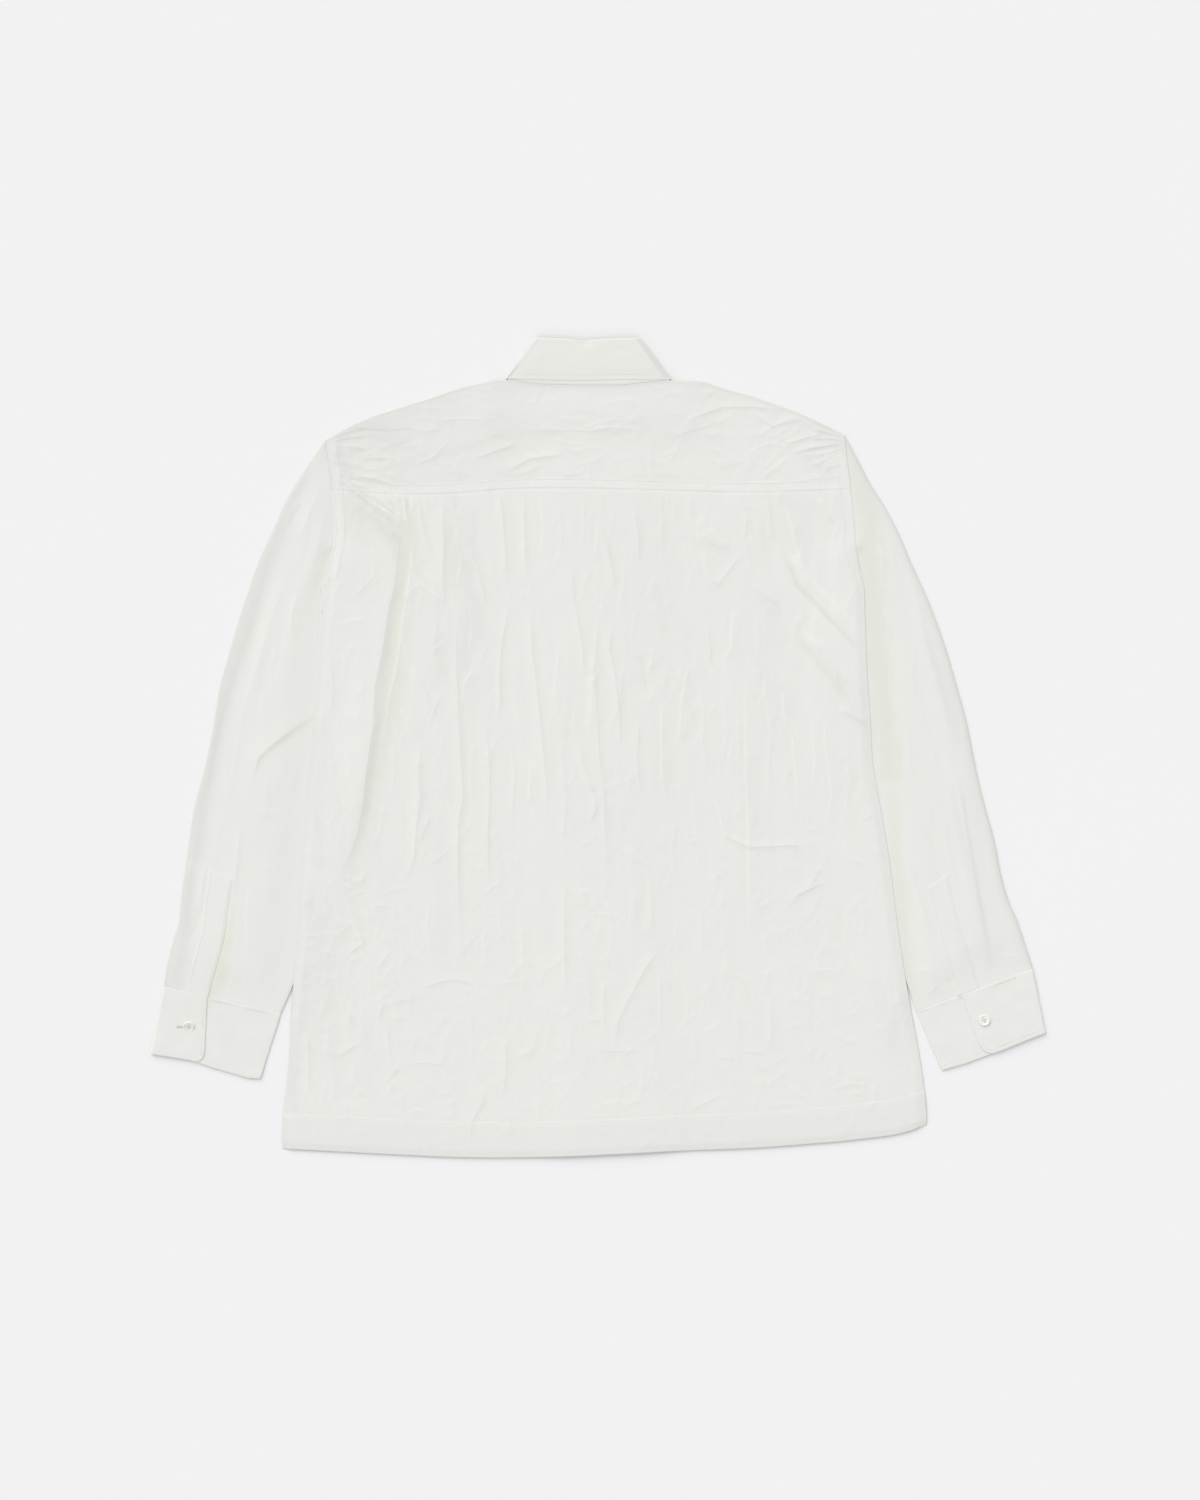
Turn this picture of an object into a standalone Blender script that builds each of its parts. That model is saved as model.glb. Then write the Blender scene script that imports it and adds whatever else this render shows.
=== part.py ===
"""A long-sleeved cotton shirt, laid flat on its front with its back up.

Frame: metres, +Z up from the table, +Y to the collar, +X to the wearer's right hand.
Origin: on the table, under the middle of the garment's outline.
The sizes and tables below are in millimetres, and MM turns them into metres.
Each piece is one open sheet, given by the middle of its cloth, which Solidify makes a wall.
"""
import math
from collections import namedtuple

import bmesh
import bpy
from mathutils import Vector

MM = 0.001

# ---- cloth ----
WALL = 1.2                  # a layer with its seam allowances and crinkle
GAP = 0.3                   # between pieces that lie on each other
SEAM = 0.5                  # between the edges of pieces that are sewn together
LAYER = WALL + GAP          # from the middle of one layer to the middle of the next
FLOOR = WALL / 2            # the middle of a layer that lies on the table
FOLD_STEPS = (0.0, 0.3, 1.0)   # stations of a folded edge, in radii from its tip

# ---- buttons ----
BUTTON_WIDE = 11.5
BUTTON_DEEP = 2.0
BUTTON_RIM = 1.3            # width of the raised rim
BUTTON_DISH = 0.5           # depth of the dish inside the rim
BUTTON_SIDES = 14
FRONT_BUTTONS = 7
FRONT_BUTTON_TOP = 232      # height of the uppermost front button
FRONT_BUTTON_STEP = 88
COLLAR_BUTTON_Y = 297

# ---- heights of the layers ----
STRIP_LIFT = BUTTON_DEEP + GAP    # the left front passes over its buttons
CLOSED_LIFT = STRIP_LIFT + LAYER + 0.1    # and the right front over the left
STRIP_HALF, STRIP_FADE = 28.0, 30.0       # half the width that is lifted, and its slope's run
LEAF_LIFT = LAYER                 # the neck passes over the collar's two points
TUBE_OPEN = 2.0                   # between the middles of a pressed sleeve's two layers
TUCK_LIFT = TUBE_OPEN + LAYER     # the fronts pass over the tucked part of the sleeves
AIR = 0.5                         # more room under the back
SLEEVE_PUFF = 2.6                 # rise of a sleeve between its two edges
STAND_NECK = 5.1                  # the collar stand at the neck seam and at the roll line
STAND_ROLL = 4.6

# ---- front closure ----
CENTRE = 0.507                    # the centre front, as a share of the width
OVERLAP = 0.029                   # how far each front passes the centre, as a share
HEM_BAND = 35.0                   # the hem is turned up so far
HEM_RISE = 0.9                    # the turned-up band stands this much higher

# ---- outlines: a row for each height, or for each share of the width ----
Side = namedtuple("Side", "y left right")
BODY_SIDE = [Side(*r) for r in (
    (160, -271.5, 266), (115, -277, 267.5), (74, -280, 269), (33, -283.5, 272),
    (-17, -288.5, 275), (-69, -293, 284), (-105, -296.5, 290), (-197, -301.5, 302),
    (-267, -306.5, 313.5), (-310, -308.5, 321.5), (-371, -314.5, 328.5),
    (-401, -315.5, 328.5))]
ARMHOLE_BACK = [Side(*r) for r in (
    (308, -272.5, 246.5), (257, -265.5, 252.5), (232, -264, 256), (206, -264, 257.5),
    (186, -268, 260), (168, -270.5, 264), (160, -271.5, 266))]
ARMHOLE_FRONT = [Side(*r) for r in (
    (308, -272.5, 246.5), (272.5, -267, 248), (246, -263, 251), (219, -262.5, 254.5),
    (192, -266, 258), (168, -270, 263.5), (160, -271.5, 266))]
SLEEVE_INNER = [Side(*r) for r in (
    (163, -272.9, 267.4), (145, -275.8, 269.4), (120, -265, 259), (100, -260, 254),
    (74, -257, 251), (33, -256, 249), (-17, -262, 255), (-69, -272, 266),
    (-100, -280, 274), (-148, -290, 287), (-197, -299, 299), (-233, -305.0, 310.5),
    (-266, -317, 318))]
SLEEVE_OUTER_LEFT = (
    (307.5, -272.8), (277, -294), (247, -312), (220, -324), (187, -339), (144, -354), (94, -369),
    (66, -377), (14, -386), (-19, -393), (-62, -404), (-110, -411), (-153, -417), (-174, -419),
    (-195, -425), (-220, -431), (-239, -434))
SLEEVE_OUTER_RIGHT = (
    (312, 246.8), (291, 258), (261, 274), (235, 290), (211, 302), (187, 312), (147, 330),
    (107, 345), (67, 357), (27, 368), (-13, 376), (-53, 385), (-93, 396), (-133, 404),
    (-153, 410), (-174, 419), (-195, 426), (-221, 434.5))
TOP_LINE = (          # shoulder fold, neck seam and shoulder fold: x, y
    (-272.5, 307.5), (-245, 322), (-224, 331), (-199, 339), (-170, 348), (-135, 360),
    (-105, 367), (-91, 367), (-83, 366), (-58, 362), (-18, 361), (22, 361), (50, 364),
    (72, 366.4), (94, 366.6), (107, 365), (126, 358), (151, 351.5), (174, 343.5),
    (196, 335.5), (210, 330), (229, 321), (246.5, 312))
YOKE_SEAM = ((0, 257), (0.1, 252.5), (0.22, 252.5), (0.34, 257), (0.62, 256), (0.8, 254),
             (1, 257))                                      # share of the width, y
HEM = ((0, -401), (0.09, -404), (0.18, -407), (0.27, -409.5), (0.43, -408.9), (0.53, -406),
       (0.62, -403), (0.74, -400), (0.81, -396.6), (0.89, -392), (0.98, -382), (1, -377))
NECKLINE = (          # the fronts' neck seam: x, y
    (-91, 332), (-84, 316), (-74, 305), (-57, 294.5), (-30, 286.5), (-9.5, 284), (11.5, 286.5),
    (38, 294.5), (55, 305), (65, 316), (72, 331))
NECK_LEFT, NECK_RIGHT = -91.0, 72.0
FRONT_SEAM = ((-272.5, 272.5), (-91, 332), (72, 331), (246.5, 277))    # the front yoke seams

# ---- cuffs: share of the width from the inner edge, x, y ----
CUFF_SEAM_LEFT = ((0, -317, -266.3), (1, -434, -239.6))
CUFF_EDGE_LEFT = ((0, -337.6, -331.4), (0.12, -349, -331), (0.55, -385, -320.5),
                  (0.75, -407, -313), (1, -447.2, -306.5))
CUFF_SEAM_RIGHT = ((0, 318, -264), (1, 434.5, -221.6))
CUFF_EDGE_RIGHT = ((0, 344, -323), (0.22, 367, -316.4), (0.44, 391, -307.4),
                   (0.57, 403, -303.4), (0.8, 427, -293.4), (1, 447.2, -285.6))
SLEEVE_END = 0.5      # a sleeve ends this far above its cuff's seam
SLEEVE_ROWS = [0, 0.04] + [k / 17 for k in range(2, 18)]     # shares of its length

# the ends of the cuff's two layers and the edges of the placket, as shares of the width
Closure = namedtuple("Closure", "over_end under_end button_x button_y placket_in placket_out")
CUFF_LEFT = Closure(0.63, 0.84, button_x=-410, button_y=-278, placket_in=0.62, placket_out=0.81)
CUFF_RIGHT = Closure(0.39, 0.62, button_x=386, button_y=-273, placket_in=0.35, placket_out=0.54)
PLACKET_FROM = 13     # the sleeve's row that the placket starts at

# ---- the collar, from the left end round the back to the right end ----
Band = namedtuple("Band", "x_low y_low z_low x_roll y_roll z_roll")
STAND_LEFT_FRONT = (                       # the left half of the front, outermost at the centre
    Band(5, 287.0, 2.9, 4, 308, 2.9), Band(-14, 286.4, 2.9, -18, 312, 2.9),
    Band(-36, 290, 2.4, -33, 333, 2.4), Band(-57, 297, 2.1, -44, 357, 2.1),
    Band(-73, 307, 2.1, -52, 380, 2.1), Band(-83, 318, 2.1, -55.4, 393, 2.1),
    Band(-90.0, 334, 2.1, -57, 398.4, 2.1), Band(-88.8, 366.0, 2.1, -58.6, 402.6, 2.1))
STAND_BACK = (
    Band(-89.7, 368.2, 2.5, -59.6, 404.4, 2.4), Band(-90.0, 368.8, 3.55, -60.2, 405.2, 3.35),
    Band(-89.4, 368.9, 4.6, -59.6, 405.9, 4.3), Band(-87.6, 368.6, 5.0, -57.5, 406.3, STAND_ROLL),
    Band(-74, 366.2, STAND_NECK, -50, 406.6, STAND_ROLL),
    Band(-58, 363.2, STAND_NECK, -38, 406.4, STAND_ROLL),
    Band(-18, 362.1, STAND_NECK, -13, 404.4, STAND_ROLL),
    Band(22, 362.1, STAND_NECK, 10, 405.6, STAND_ROLL),
    Band(46, 364.8, STAND_NECK, 24, 406.6, STAND_ROLL),
    Band(58, 366.2, STAND_NECK, 32, 406.6, STAND_ROLL),
    Band(68.6, 368.0, 5.0, 38.0, 406.3, STAND_ROLL), Band(70.4, 368.3, 4.6, 40.1, 405.9, 4.3),
    Band(71.0, 368.2, 3.55, 40.7, 405.2, 3.35), Band(70.7, 367.6, 2.5, 40.1, 404.4, 2.4))
STAND_RIGHT_FRONT = (                      # from the side fold to the end under the left half
    Band(69.8, 365.4, 2.1, 39.3, 402.6, 2.1), Band(71.0, 333, 2.1, 37.5, 398.4, 2.1),
    Band(64, 318, 2.1, 36, 393, 2.1), Band(54, 307, 2.1, 32.5, 380, 2.1),
    Band(38, 297, 2.4, 24.5, 357, 2.3), Band(29, 294, 3.4, 18, 341, 3.2),
    Band(19, 290.4, 4.4, 12, 329, 4.4), Band(-4, 286.4, 4.5, 0, 312, 4.5),
    Band(-22, 287, 4.5, -20, 310, 4.5))
# The fall, from the left point round the back to the right point: its roll line beside the
# stand (z_inner), the same line past the roll (z_leaf), and its free edge.
Leaf = namedtuple("Leaf", "x_roll y_roll z_inner z_leaf x_edge y_edge z_edge")
FALL = (
    Leaf(-9.5, 313.4, 2.7, 0.6, -64, 250, 0.6), Leaf(-19.5, 318.5, 2.7, 0.6, -67.5, 270, 0.6),
    Leaf(-31.5, 334.2, 2.4, 0.6, -72.5, 293, 0.6), Leaf(-42.3, 357.7, 2.1, 0.6, -79.5, 325, 0.6),
    Leaf(-50.2, 380.5, 2.1, 0.6, -85.5, 349, 0.6), Leaf(-54.4, 396, 2.1, 0.6, -88.5, 362.0, 0.6),
    Leaf(-57.8, 406.6, 2.3, 0.6, -89.4, 368.4, 0.6), Leaf(-60.2, 408.4, 2.6, 1.5, -91.2, 370.2, 1.5),
    Leaf(-61.0, 409.0, 3.5, 3.5, -92.0, 370.8, 3.5), Leaf(-60.2, 409.0, 4.2, 5.6, -91.0, 371.0, 5.6),
    Leaf(-57.8, 408.8, STAND_ROLL, 6.5, -88.6, 370.4, 6.7),
    Leaf(-50, 408.4, STAND_ROLL, 6.5, -74, 367.8, 6.9), Leaf(-34, 408.0, STAND_ROLL, 6.5, -52, 366.6, 6.9),
    Leaf(-13, 406.2, STAND_ROLL, 6.5, -16, 366.2, 6.9), Leaf(10, 407.8, STAND_ROLL, 6.5, 20, 366.4, 6.9),
    Leaf(30, 408.4, STAND_ROLL, 6.5, 54, 367.2, 6.9),
    Leaf(38.3, 408.8, STAND_ROLL, 6.5, 69.6, 370.0, 6.7),
    Leaf(40.7, 409.0, 4.2, 5.6, 72.0, 370.6, 5.6), Leaf(41.5, 409.0, 3.5, 3.5, 73.0, 370.4, 3.5),
    Leaf(40.7, 408.4, 2.6, 1.5, 72.2, 369.8, 1.5), Leaf(38.3, 406.6, 2.3, 0.6, 70.4, 368.0, 0.6),
    Leaf(35.0, 396, 2.1, 0.6, 69.5, 362, 0.6), Leaf(30.7, 380.5, 2.1, 0.6, 66.5, 349, 0.6),
    Leaf(22.8, 357.7, 2.3, 0.6, 60.5, 325, 0.6), Leaf(10.2, 332.5, 4.3, 0.6, 53.5, 293, 0.6),
    Leaf(2.2, 320.0, 4.3, 0.6, 49, 270, 0.6), Leaf(-4.5, 313.4, 4.3, 0.6, 45, 250, 0.6))
FALL_ROLL = 2.2       # width of the rounded part of the fall at its roll line

# ---- folds of the cloth ----
# A row is a soft ridge: its two ends, its sideways bow, its half widths on its left and
# right (looking down it towards the second end), and its height.
Fold = namedtuple("Fold", "x_from y_from x_to y_to bow left right height")
BACK_FOLDS = [Fold(*r) for r in (
    (-206, 252, -268, -150, 9, 26, 10, 4.6),      # from the left pleat down to the side
    (-188, 252, -196, 60, -6, 8, 12, 2.6),
    (-166, 236, -168, -20, 5, 9, 9, 2.2),
    (-143, 256, -152, -170, -5, 10, 9, 3.4),
    (-106, 250, -116, -90, 6, 9, 9, 2.8),
    (-78, 232, -88, -140, -6, 8, 9, 2.4),
    (-54, 252, -60, 30, 5, 8, 8, 2.3),
    (-26, 250, -30, -60, -4, 8, 8, 1.8),
    (2, 252, 6, -380, 0, 9, 8, 2.4),              # the centre crease
    (40, 244, 34, -70, 6, 9, 8, 2.6),
    (64, 200, 70, -120, -5, 8, 9, 1.9),
    (86, 250, 92, -100, -6, 9, 9, 2.8),
    (118, 226, 124, -40, 6, 9, 8, 2.2),
    (147, 246, 154, -180, -5, 9, 9, 2.5),
    (170, 252, 240, 112, -14, 12, 9, 4.2),        # from the right pleat
    (182, 196, 262, 92, 6, 10, 9, 3.2),
    (206, 122, 276, 14, 5, 11, 10, 3.4),
    (186, 90, 196, -140, 6, 9, 9, 2.0),
    (228, 10, 244, -220, -6, 10, 10, 2.2),
    (104, 214, 136, 184, 3, 8, 8, 2.4),
    (-128, -120, -170, -330, 8, 9, 9, 2.0),
    (-226, -150, -256, -330, -6, 10, 9, 2.2),
    (-196, -252, -118, -246, -9, 8, 8, 1.8),
    (-60, -170, -46, -350, 5, 9, 9, 1.8),
    (68, -196, 20, -270, 4, 8, 8, 1.9),
    (96, -150, 84, -350, -6, 9, 9, 1.8),
    (166, -220, 180, -350, 5, 9, 9, 1.6),
    (-250, 322, -126, 312, 3, 8, 9, 2.0),         # on the yoke
    (-170, 306, -40, 268, -4, 9, 9, 1.8),
    (-246, 296, -150, 284, 4, 8, 8, 1.8),
    (20, 330, 96, 296, 4, 9, 9, 1.5),
    (176, 346, 244, 292, 5, 9, 8, 2.2),
    (140, 330, 240, 272, 5, 8, 8, 1.8))]
SLEEVE_FOLDS = [Fold(*r) for r in (
    (-337, 155, -392, -95, 6, 10, 14, 2.4),
    (-300, 210, -322, 60, 6, 10, 10, 2.0),
    (-283, 33, -342, -30, 6, 8, 9, 3.0),          # the crease at the elbow
    (-352, -70, -362, -170, -4, 8, 9, 2.0),
    (-396, -150, -420, -222, 4, 8, 9, 2.2),
    (-330, -120, -322, -240, 4, 9, 9, 1.8),
    (278, 230, 352, 20, -8, 11, 12, 2.4),
    (300, 120, 330, -60, 6, 10, 10, 2.2),
    (352, -28, 392, -214, -4, 9, 9, 2.8),
    (400, -120, 424, -210, 4, 8, 8, 2.0),
    (322, -130, 346, -236, -5, 9, 9, 2.2))]


# ---------------------------------------------------------------- numbers
def clamp(value):
    return min(max(value, 0.0), 1.0)


def ease(value):
    """A soft step from 0 to 1."""
    t = clamp(value)
    return t * t * (3 - 2 * t)


def quarter(value):
    """The rise of a folded edge: 0 at its tip, 1 one radius in."""
    return math.sqrt(1 - (1 - clamp(value)) ** 2)


def mix(a, b, share):
    return a + (b - a) * share


def read(rows, at, column=1):
    """A column of a table at a place between its rows, whose first column rises or falls."""
    if rows[0][0] > rows[-1][0]:
        rows = rows[::-1]
    at = min(max(at, rows[0][0]), rows[-1][0])
    for low, high in zip(rows, rows[1:]):
        if at <= high[0]:
            return mix(low[column], high[column], (at - low[0]) / (high[0] - low[0]))
    return rows[-1][column]


def ridges(folds, x, y):
    """The height that the folds add at a place."""
    total = 0.0
    for f in folds:
        dx, dy = f.x_to - f.x_from, f.y_to - f.y_from
        length = math.hypot(dx, dy)
        t = ((x - f.x_from) * dx + (y - f.y_from) * dy) / length ** 2
        if 0 < t < 1:
            aside = ((y - f.y_from) * dx - (x - f.x_from) * dy) / length - f.bow * 4 * t * (1 - t)
            width = f.left if aside > 0 else f.right
            ends = ease(t / 0.12) * ease((1 - t) / 0.3)
            total += f.height * ends * math.exp(-(aside / width) ** 2)
    return total


# ---------------------------------------------------------------- outlines and heights
LEFT, RIGHT = 1, 2      # the columns of a Side row


def back_side(y, side):
    """The back's edge: the armhole's seam, and the body's side below it."""
    return read(ARMHOLE_BACK if y > ARMHOLE_BACK[-1].y else BODY_SIDE, y, side)


def front_side(y, side):
    """The fronts' edge, which lies just inside the back's rolled edge below the armhole."""
    if y > ARMHOLE_FRONT[-1].y:
        return read(ARMHOLE_FRONT, y, side)
    inward = 1 if side == LEFT else -1
    return read(BODY_SIDE, y, side) + inward * (LAYER + 0.4) * ease((ARMHOLE_FRONT[-1].y - y) / 8)


def x_top_at(share):
    """A place along the top line at a share of the width."""
    return mix(TOP_LINE[0][0], TOP_LINE[-1][0], share)


def share_at(x_top):
    return (x_top - TOP_LINE[0][0]) / (TOP_LINE[-1][0] - TOP_LINE[0][0])


def front_x(share, y):
    """A place on the fronts, or on the yoke's front part, at a share of the width."""
    return mix(front_side(y, LEFT), front_side(y, RIGHT), share)


def centre_x(y):
    return front_x(CENTRE, y)


def leaf_lift(x, y, spread=0):
    """The neck's rise over the two points of the collar."""
    beside = max(-98 - spread - x, x - 79 - spread, 0) / 16
    below = max(240 - spread - y, 0) / 16
    return LEAF_LIFT * ease(1 - beside) * ease(1 - below)


def tuck_lift(x, y, spread=0):
    """The fronts' rise over the parts of the sleeves that lie under them."""
    reach = ease((195 + spread - y) / 17) * ease((y + 263 + spread) / 20)
    left = ease(1 - (x - read(SLEEVE_INNER, y, LEFT) - 12 - spread) / 14)
    right = ease(1 - (read(SLEEVE_INNER, y, RIGHT) - 12 - spread - x) / 14)
    return TUCK_LIFT * reach * max(left, right)


def strip_lift(x, y, lift):
    """The rise of a front over the buttons and the other front."""
    return lift * ease(1 - max(abs(x - centre_x(y)) - STRIP_HALF, 0) / STRIP_FADE)


def left_front_z(x, y):
    return FLOOR + max(leaf_lift(x, y), tuck_lift(x, y), strip_lift(x, y, STRIP_LIFT))


def right_front_z(x, y):
    return FLOOR + max(leaf_lift(x, y), tuck_lift(x, y), strip_lift(x, y, CLOSED_LIFT))


def hem_rise(x, y):
    """The turned-up band along the back's hem."""
    share = (x - back_side(y, LEFT)) / (back_side(y, RIGHT) - back_side(y, LEFT))
    return HEM_RISE * ease((read(HEM, share) + HEM_BAND - y) / 4 + 0.5)


def back_z(x, y):
    """The middle of the yoke and the back, over whatever lies under them."""
    strip = strip_lift(x, y, CLOSED_LIFT) * ease((366 - y) / 22)
    neck = (STAND_NECK - FLOOR - LAYER - AIR) * ease((y - 300) / 30)
    collar = neck * ease(1 - max(-100 - x, x - 81, 0) / 30)
    under = max(leaf_lift(x, y, 14), tuck_lift(x, y, 10), strip, collar)
    edge = min(x - back_side(y, LEFT), back_side(y, RIGHT) - x)
    top = read(TOP_LINE, x) - y
    calm = ease(edge / 16) * ease((top - 4) / 16) * ease((y + 405) / 60)
    return FLOOR + LAYER + AIR + under + ridges(BACK_FOLDS, x, y) * calm + hem_rise(x, y)


# ---------------------------------------------------------------- building
def material(name, colour, roughness):
    made = bpy.data.materials.new(name)
    made.use_nodes = True
    shader = made.node_tree.nodes["Principled BSDF"]
    shader.inputs["Base Color"].default_value = (*colour, 1)
    shader.inputs["Roughness"].default_value = roughness
    shader.inputs["Metallic"].default_value = 0
    return made


def link(name, mesh, finish):
    mesh.materials.append(finish)
    made = bpy.data.objects.new(name, mesh)
    shirt.objects.link(made)
    return made


def sheet(name, columns, rows, place, leave_out=None, closed=False):
    """A sheet of cloth: a grid whose points are placed by column and row, made a wall."""
    mesh = bmesh.new()
    across, down = len(columns) - 1, len(rows) - 1
    bmesh.ops.create_grid(mesh, x_segments=across, y_segments=down, size=0.5)
    spare = []
    for face in mesh.faces:
        middle = face.calc_center_median()
        i, j = int((middle.x + 0.5) * across), int((middle.y + 0.5) * down)
        if leave_out and leave_out(columns[i], columns[i + 1], rows[j], rows[j + 1]):
            spare.append(face)
    bmesh.ops.delete(mesh, geom=spare, context="FACES")
    for vert in mesh.verts:
        i, j = round((vert.co.x + 0.5) * across), round((vert.co.y + 0.5) * down)
        vert.co = Vector(place(columns[i], rows[j])) * MM
    if closed:
        bmesh.ops.remove_doubles(mesh, verts=mesh.verts, dist=1e-6)
    bmesh.ops.triangulate(mesh, faces=mesh.faces, quad_method="SHORT_EDGE")
    bmesh.ops.recalc_face_normals(mesh, faces=mesh.faces)
    data = bpy.data.meshes.new(name)
    mesh.to_mesh(data)
    mesh.free()
    made = link(name, data, cotton)
    wall = made.modifiers.new("wall", "SOLIDIFY")
    wall.thickness = WALL * MM
    wall.offset = 0
    wall.use_quality_normals = True
    evaluated = made.evaluated_get(bpy.context.evaluated_depsgraph_get())
    solid = bpy.data.meshes.new_from_object(evaluated)
    made.modifiers.remove(wall)
    for vert in solid.vertices:
        vert.co.z = max(vert.co.z, 0)       # the table keeps the underside flat
    made.data = solid
    return made


def button(name, x, y, z, face_up):
    """A turned disc with a raised rim round a dish, lying on z, its face up or down."""
    half = BUTTON_WIDE / 2
    profile = ((0, 0), (half - 0.5, 0), (half, 0.8), (half - 0.6, BUTTON_DEEP),
               (half - BUTTON_RIM, BUTTON_DEEP), (half - BUTTON_RIM - 0.7, BUTTON_DEEP - BUTTON_DISH),
               (0, BUTTON_DEEP - BUTTON_DISH))
    turn = 1 if face_up else -1
    base = 0 if face_up else BUTTON_DEEP
    mesh = bmesh.new()
    points = [mesh.verts.new(Vector((radius, 0, base + turn * height)) * MM)
              for radius, height in profile]
    edges = [mesh.edges.new(pair) for pair in zip(points, points[1:])]
    bmesh.ops.spin(mesh, geom=points + edges, axis=(0, 0, 1), cent=(0, 0, 0),
                   angle=2 * math.pi, steps=BUTTON_SIDES, use_merge=True)
    bmesh.ops.remove_doubles(mesh, verts=mesh.verts, dist=1e-6)
    bmesh.ops.recalc_face_normals(mesh, faces=mesh.faces)
    data = bpy.data.meshes.new(name)
    mesh.to_mesh(data)
    mesh.free()
    data.shade_smooth()
    data.set_sharp_from_angle(angle=math.radians(35))
    made = link(name, data, pearl)
    made.location = Vector((x, y, z)) * MM


# ---------------------------------------------------------------- yoke and body
def even(count):
    return [k / count for k in range(count + 1)]


# A row of a panel lies at top * (its upper edge) + y + hem * (its hem).
Row = namedtuple("Row", "top y hem")
SIDE_ROWS = (168, 160, 152, 142, 115, 74, 33, -17, -69, -105, -151, -197, -232, -267, -310)
BACK_ROWS = [Row(0, y, 0) for y in SIDE_ROWS + (232, 206, 186, 53, 8, -43, -340)]
BACK_ROWS = [Row(1, 0, 0)] + sorted(BACK_ROWS, key=lambda row: -row.y)
BACK_ROWS += [Row(0, d, 1) for d in (HEM_BAND + 3, HEM_BAND - 1, 0)]
FRONT_ROWS = [Row(1, 0, 0), Row(0.5, 0.5 * 246, 0)]       # the second halfway to y = 246
FRONT_ROWS += [Row(0, y, 0) for y in (246, 219, 192, 179) + SIDE_ROWS] + [Row(0, 30, 1), Row(0, 0, 1)]
FRONT_SIDE_STEPS = (0, 0.014, 0.029, 0.043, 0.059, 0.079, 0.102)    # columns beside the side


def with_corners(shares, more=()):
    """Shares of the width, with the corners of the back's seam in place of those beside them."""
    corners = [row[0] for row in YOKE_SEAM] + list(more)
    return sorted([q for q in shares if min(abs(q - c) for c in corners) > 0.008] + corners)


def build_yoke():
    """The yoke: up the back, over each shoulder, and down to its front seam."""
    rows = [(-1, 1 - k / 6, 1.0) for k in range(6)] + [(-1, 0.0, k) for k in (1.0, 0.3)]
    rows += [(0, 0.0, 0.0)] + [(1, 0.0, k) for k in (0.3, 1.0)] + [(1, k / 2, 1.0) for k in (1, 2)]

    def place(across, row):
        layer, share, radii = row
        x_top = x_top_at(across)
        top = read(TOP_LINE, x_top)
        y_seam = read(FRONT_SEAM, x_top) if layer > 0 else read(YOKE_SEAM, across)
        flap_z = FLOOR + leaf_lift(x_top, top)
        level = back_z(x_top, top)
        radius = (level - flap_z) / 2
        y = top - radii * radius - share * (top - y_seam - SEAM / 2 - radius)
        table_of = front_side if layer > 0 else back_side
        x = mix(table_of(y, LEFT), table_of(y, RIGHT), across)
        if NECK_LEFT < x_top < NECK_RIGHT:
            return x, (y if layer < 0 else top), back_z(x, y)
        if layer > 0 and radii == 1:
            return x, y, FLOOR + leaf_lift(x, y)
        middle = (level + flap_z) / 2
        if radii < 1:
            return x, y, middle - layer * radius * quarter(radii)
        return x, y, back_z(x, y)

    def over_neck(a, b, row_a, row_b):
        in_neck = NECK_LEFT < x_top_at((a + b) / 2) < NECK_RIGHT
        return in_neck and (row_a[0] > 0 or row_b[0] > 0)

    columns = with_corners(even(30), more=(share_at(NECK_LEFT), share_at(NECK_RIGHT)))
    return sheet("yoke", columns, rows, place, leave_out=over_neck)


def build_back():
    """The back panel: from the yoke's seam to the hem, its sides rolled down to the fronts."""
    columns = [(k, 0.0, 1.0) for k in FOLD_STEPS[:2]]
    columns += [(1.0, share, 1.0) for share in with_corners(even(42))]
    columns += [(1.0, 1.0, k) for k in reversed(FOLD_STEPS[:2])]

    def place(column, row):
        k_left, share, k_right = column
        y = row.top * (read(YOKE_SEAM, share) - SEAM / 2) + row.y + row.hem * read(HEM, share)
        rolled = ease((158 - y) / 16)
        edges = []
        for side, inward in ((LEFT, 1), (RIGHT, -1)):
            x_edge = back_side(y, side) + inward * FLOOR * rolled
            level = back_z(x_edge + inward * 2, y)
            low = FLOOR + tuck_lift(x_edge, y) + 0.1
            radius = (level - low) * rolled
            edges.append((x_edge, inward, level, radius, max(radius, 1.5)))
        (x_left, _, _, _, wide_left), (x_right, _, _, _, wide_right) = edges
        inside = x_right - x_left - wide_left - wide_right
        x = x_left + k_left * wide_left + share * inside + (1 - k_right) * wide_right
        for k, (_, _, level, radius, _) in ((k_left, edges[0]), (k_right, edges[1])):
            if k < 1:
                return x, y, level - radius * (1 - quarter(k))
        return x, y, back_z(x, y)

    return sheet("back_panel", columns, BACK_ROWS, place)


def front_top(share):
    """The fronts' upper edge: the front yoke seam, and the neckline between the shoulders."""
    x = x_top_at(share)
    if NECK_LEFT <= x <= NECK_RIGHT:
        return read(NECKLINE, x)
    return read(FRONT_SEAM, x) - SEAM / 2


def build_front(name, neck, end, height):
    """A front panel: from its side past the neck's corner and round the neckline to its end."""
    outer = 0 if neck == NECK_LEFT else 1
    columns = [abs(outer - step) for step in FRONT_SIDE_STEPS]
    columns += [mix(columns[-1], share_at(neck), k / 3) for k in (1, 2)]
    neckline = [share_at(row[0]) for row in NECKLINE]
    columns += neckline[:5] if outer == 0 else neckline[:5:-1]
    columns += [CENTRE, end]

    def place(share, row):
        y = row.top * front_top(share) + row.y + row.hem * (read(HEM, share) + 1)
        x = front_x(share, y)
        return x, y, height(x, y)

    return sheet(name, columns, FRONT_ROWS, place)


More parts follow.
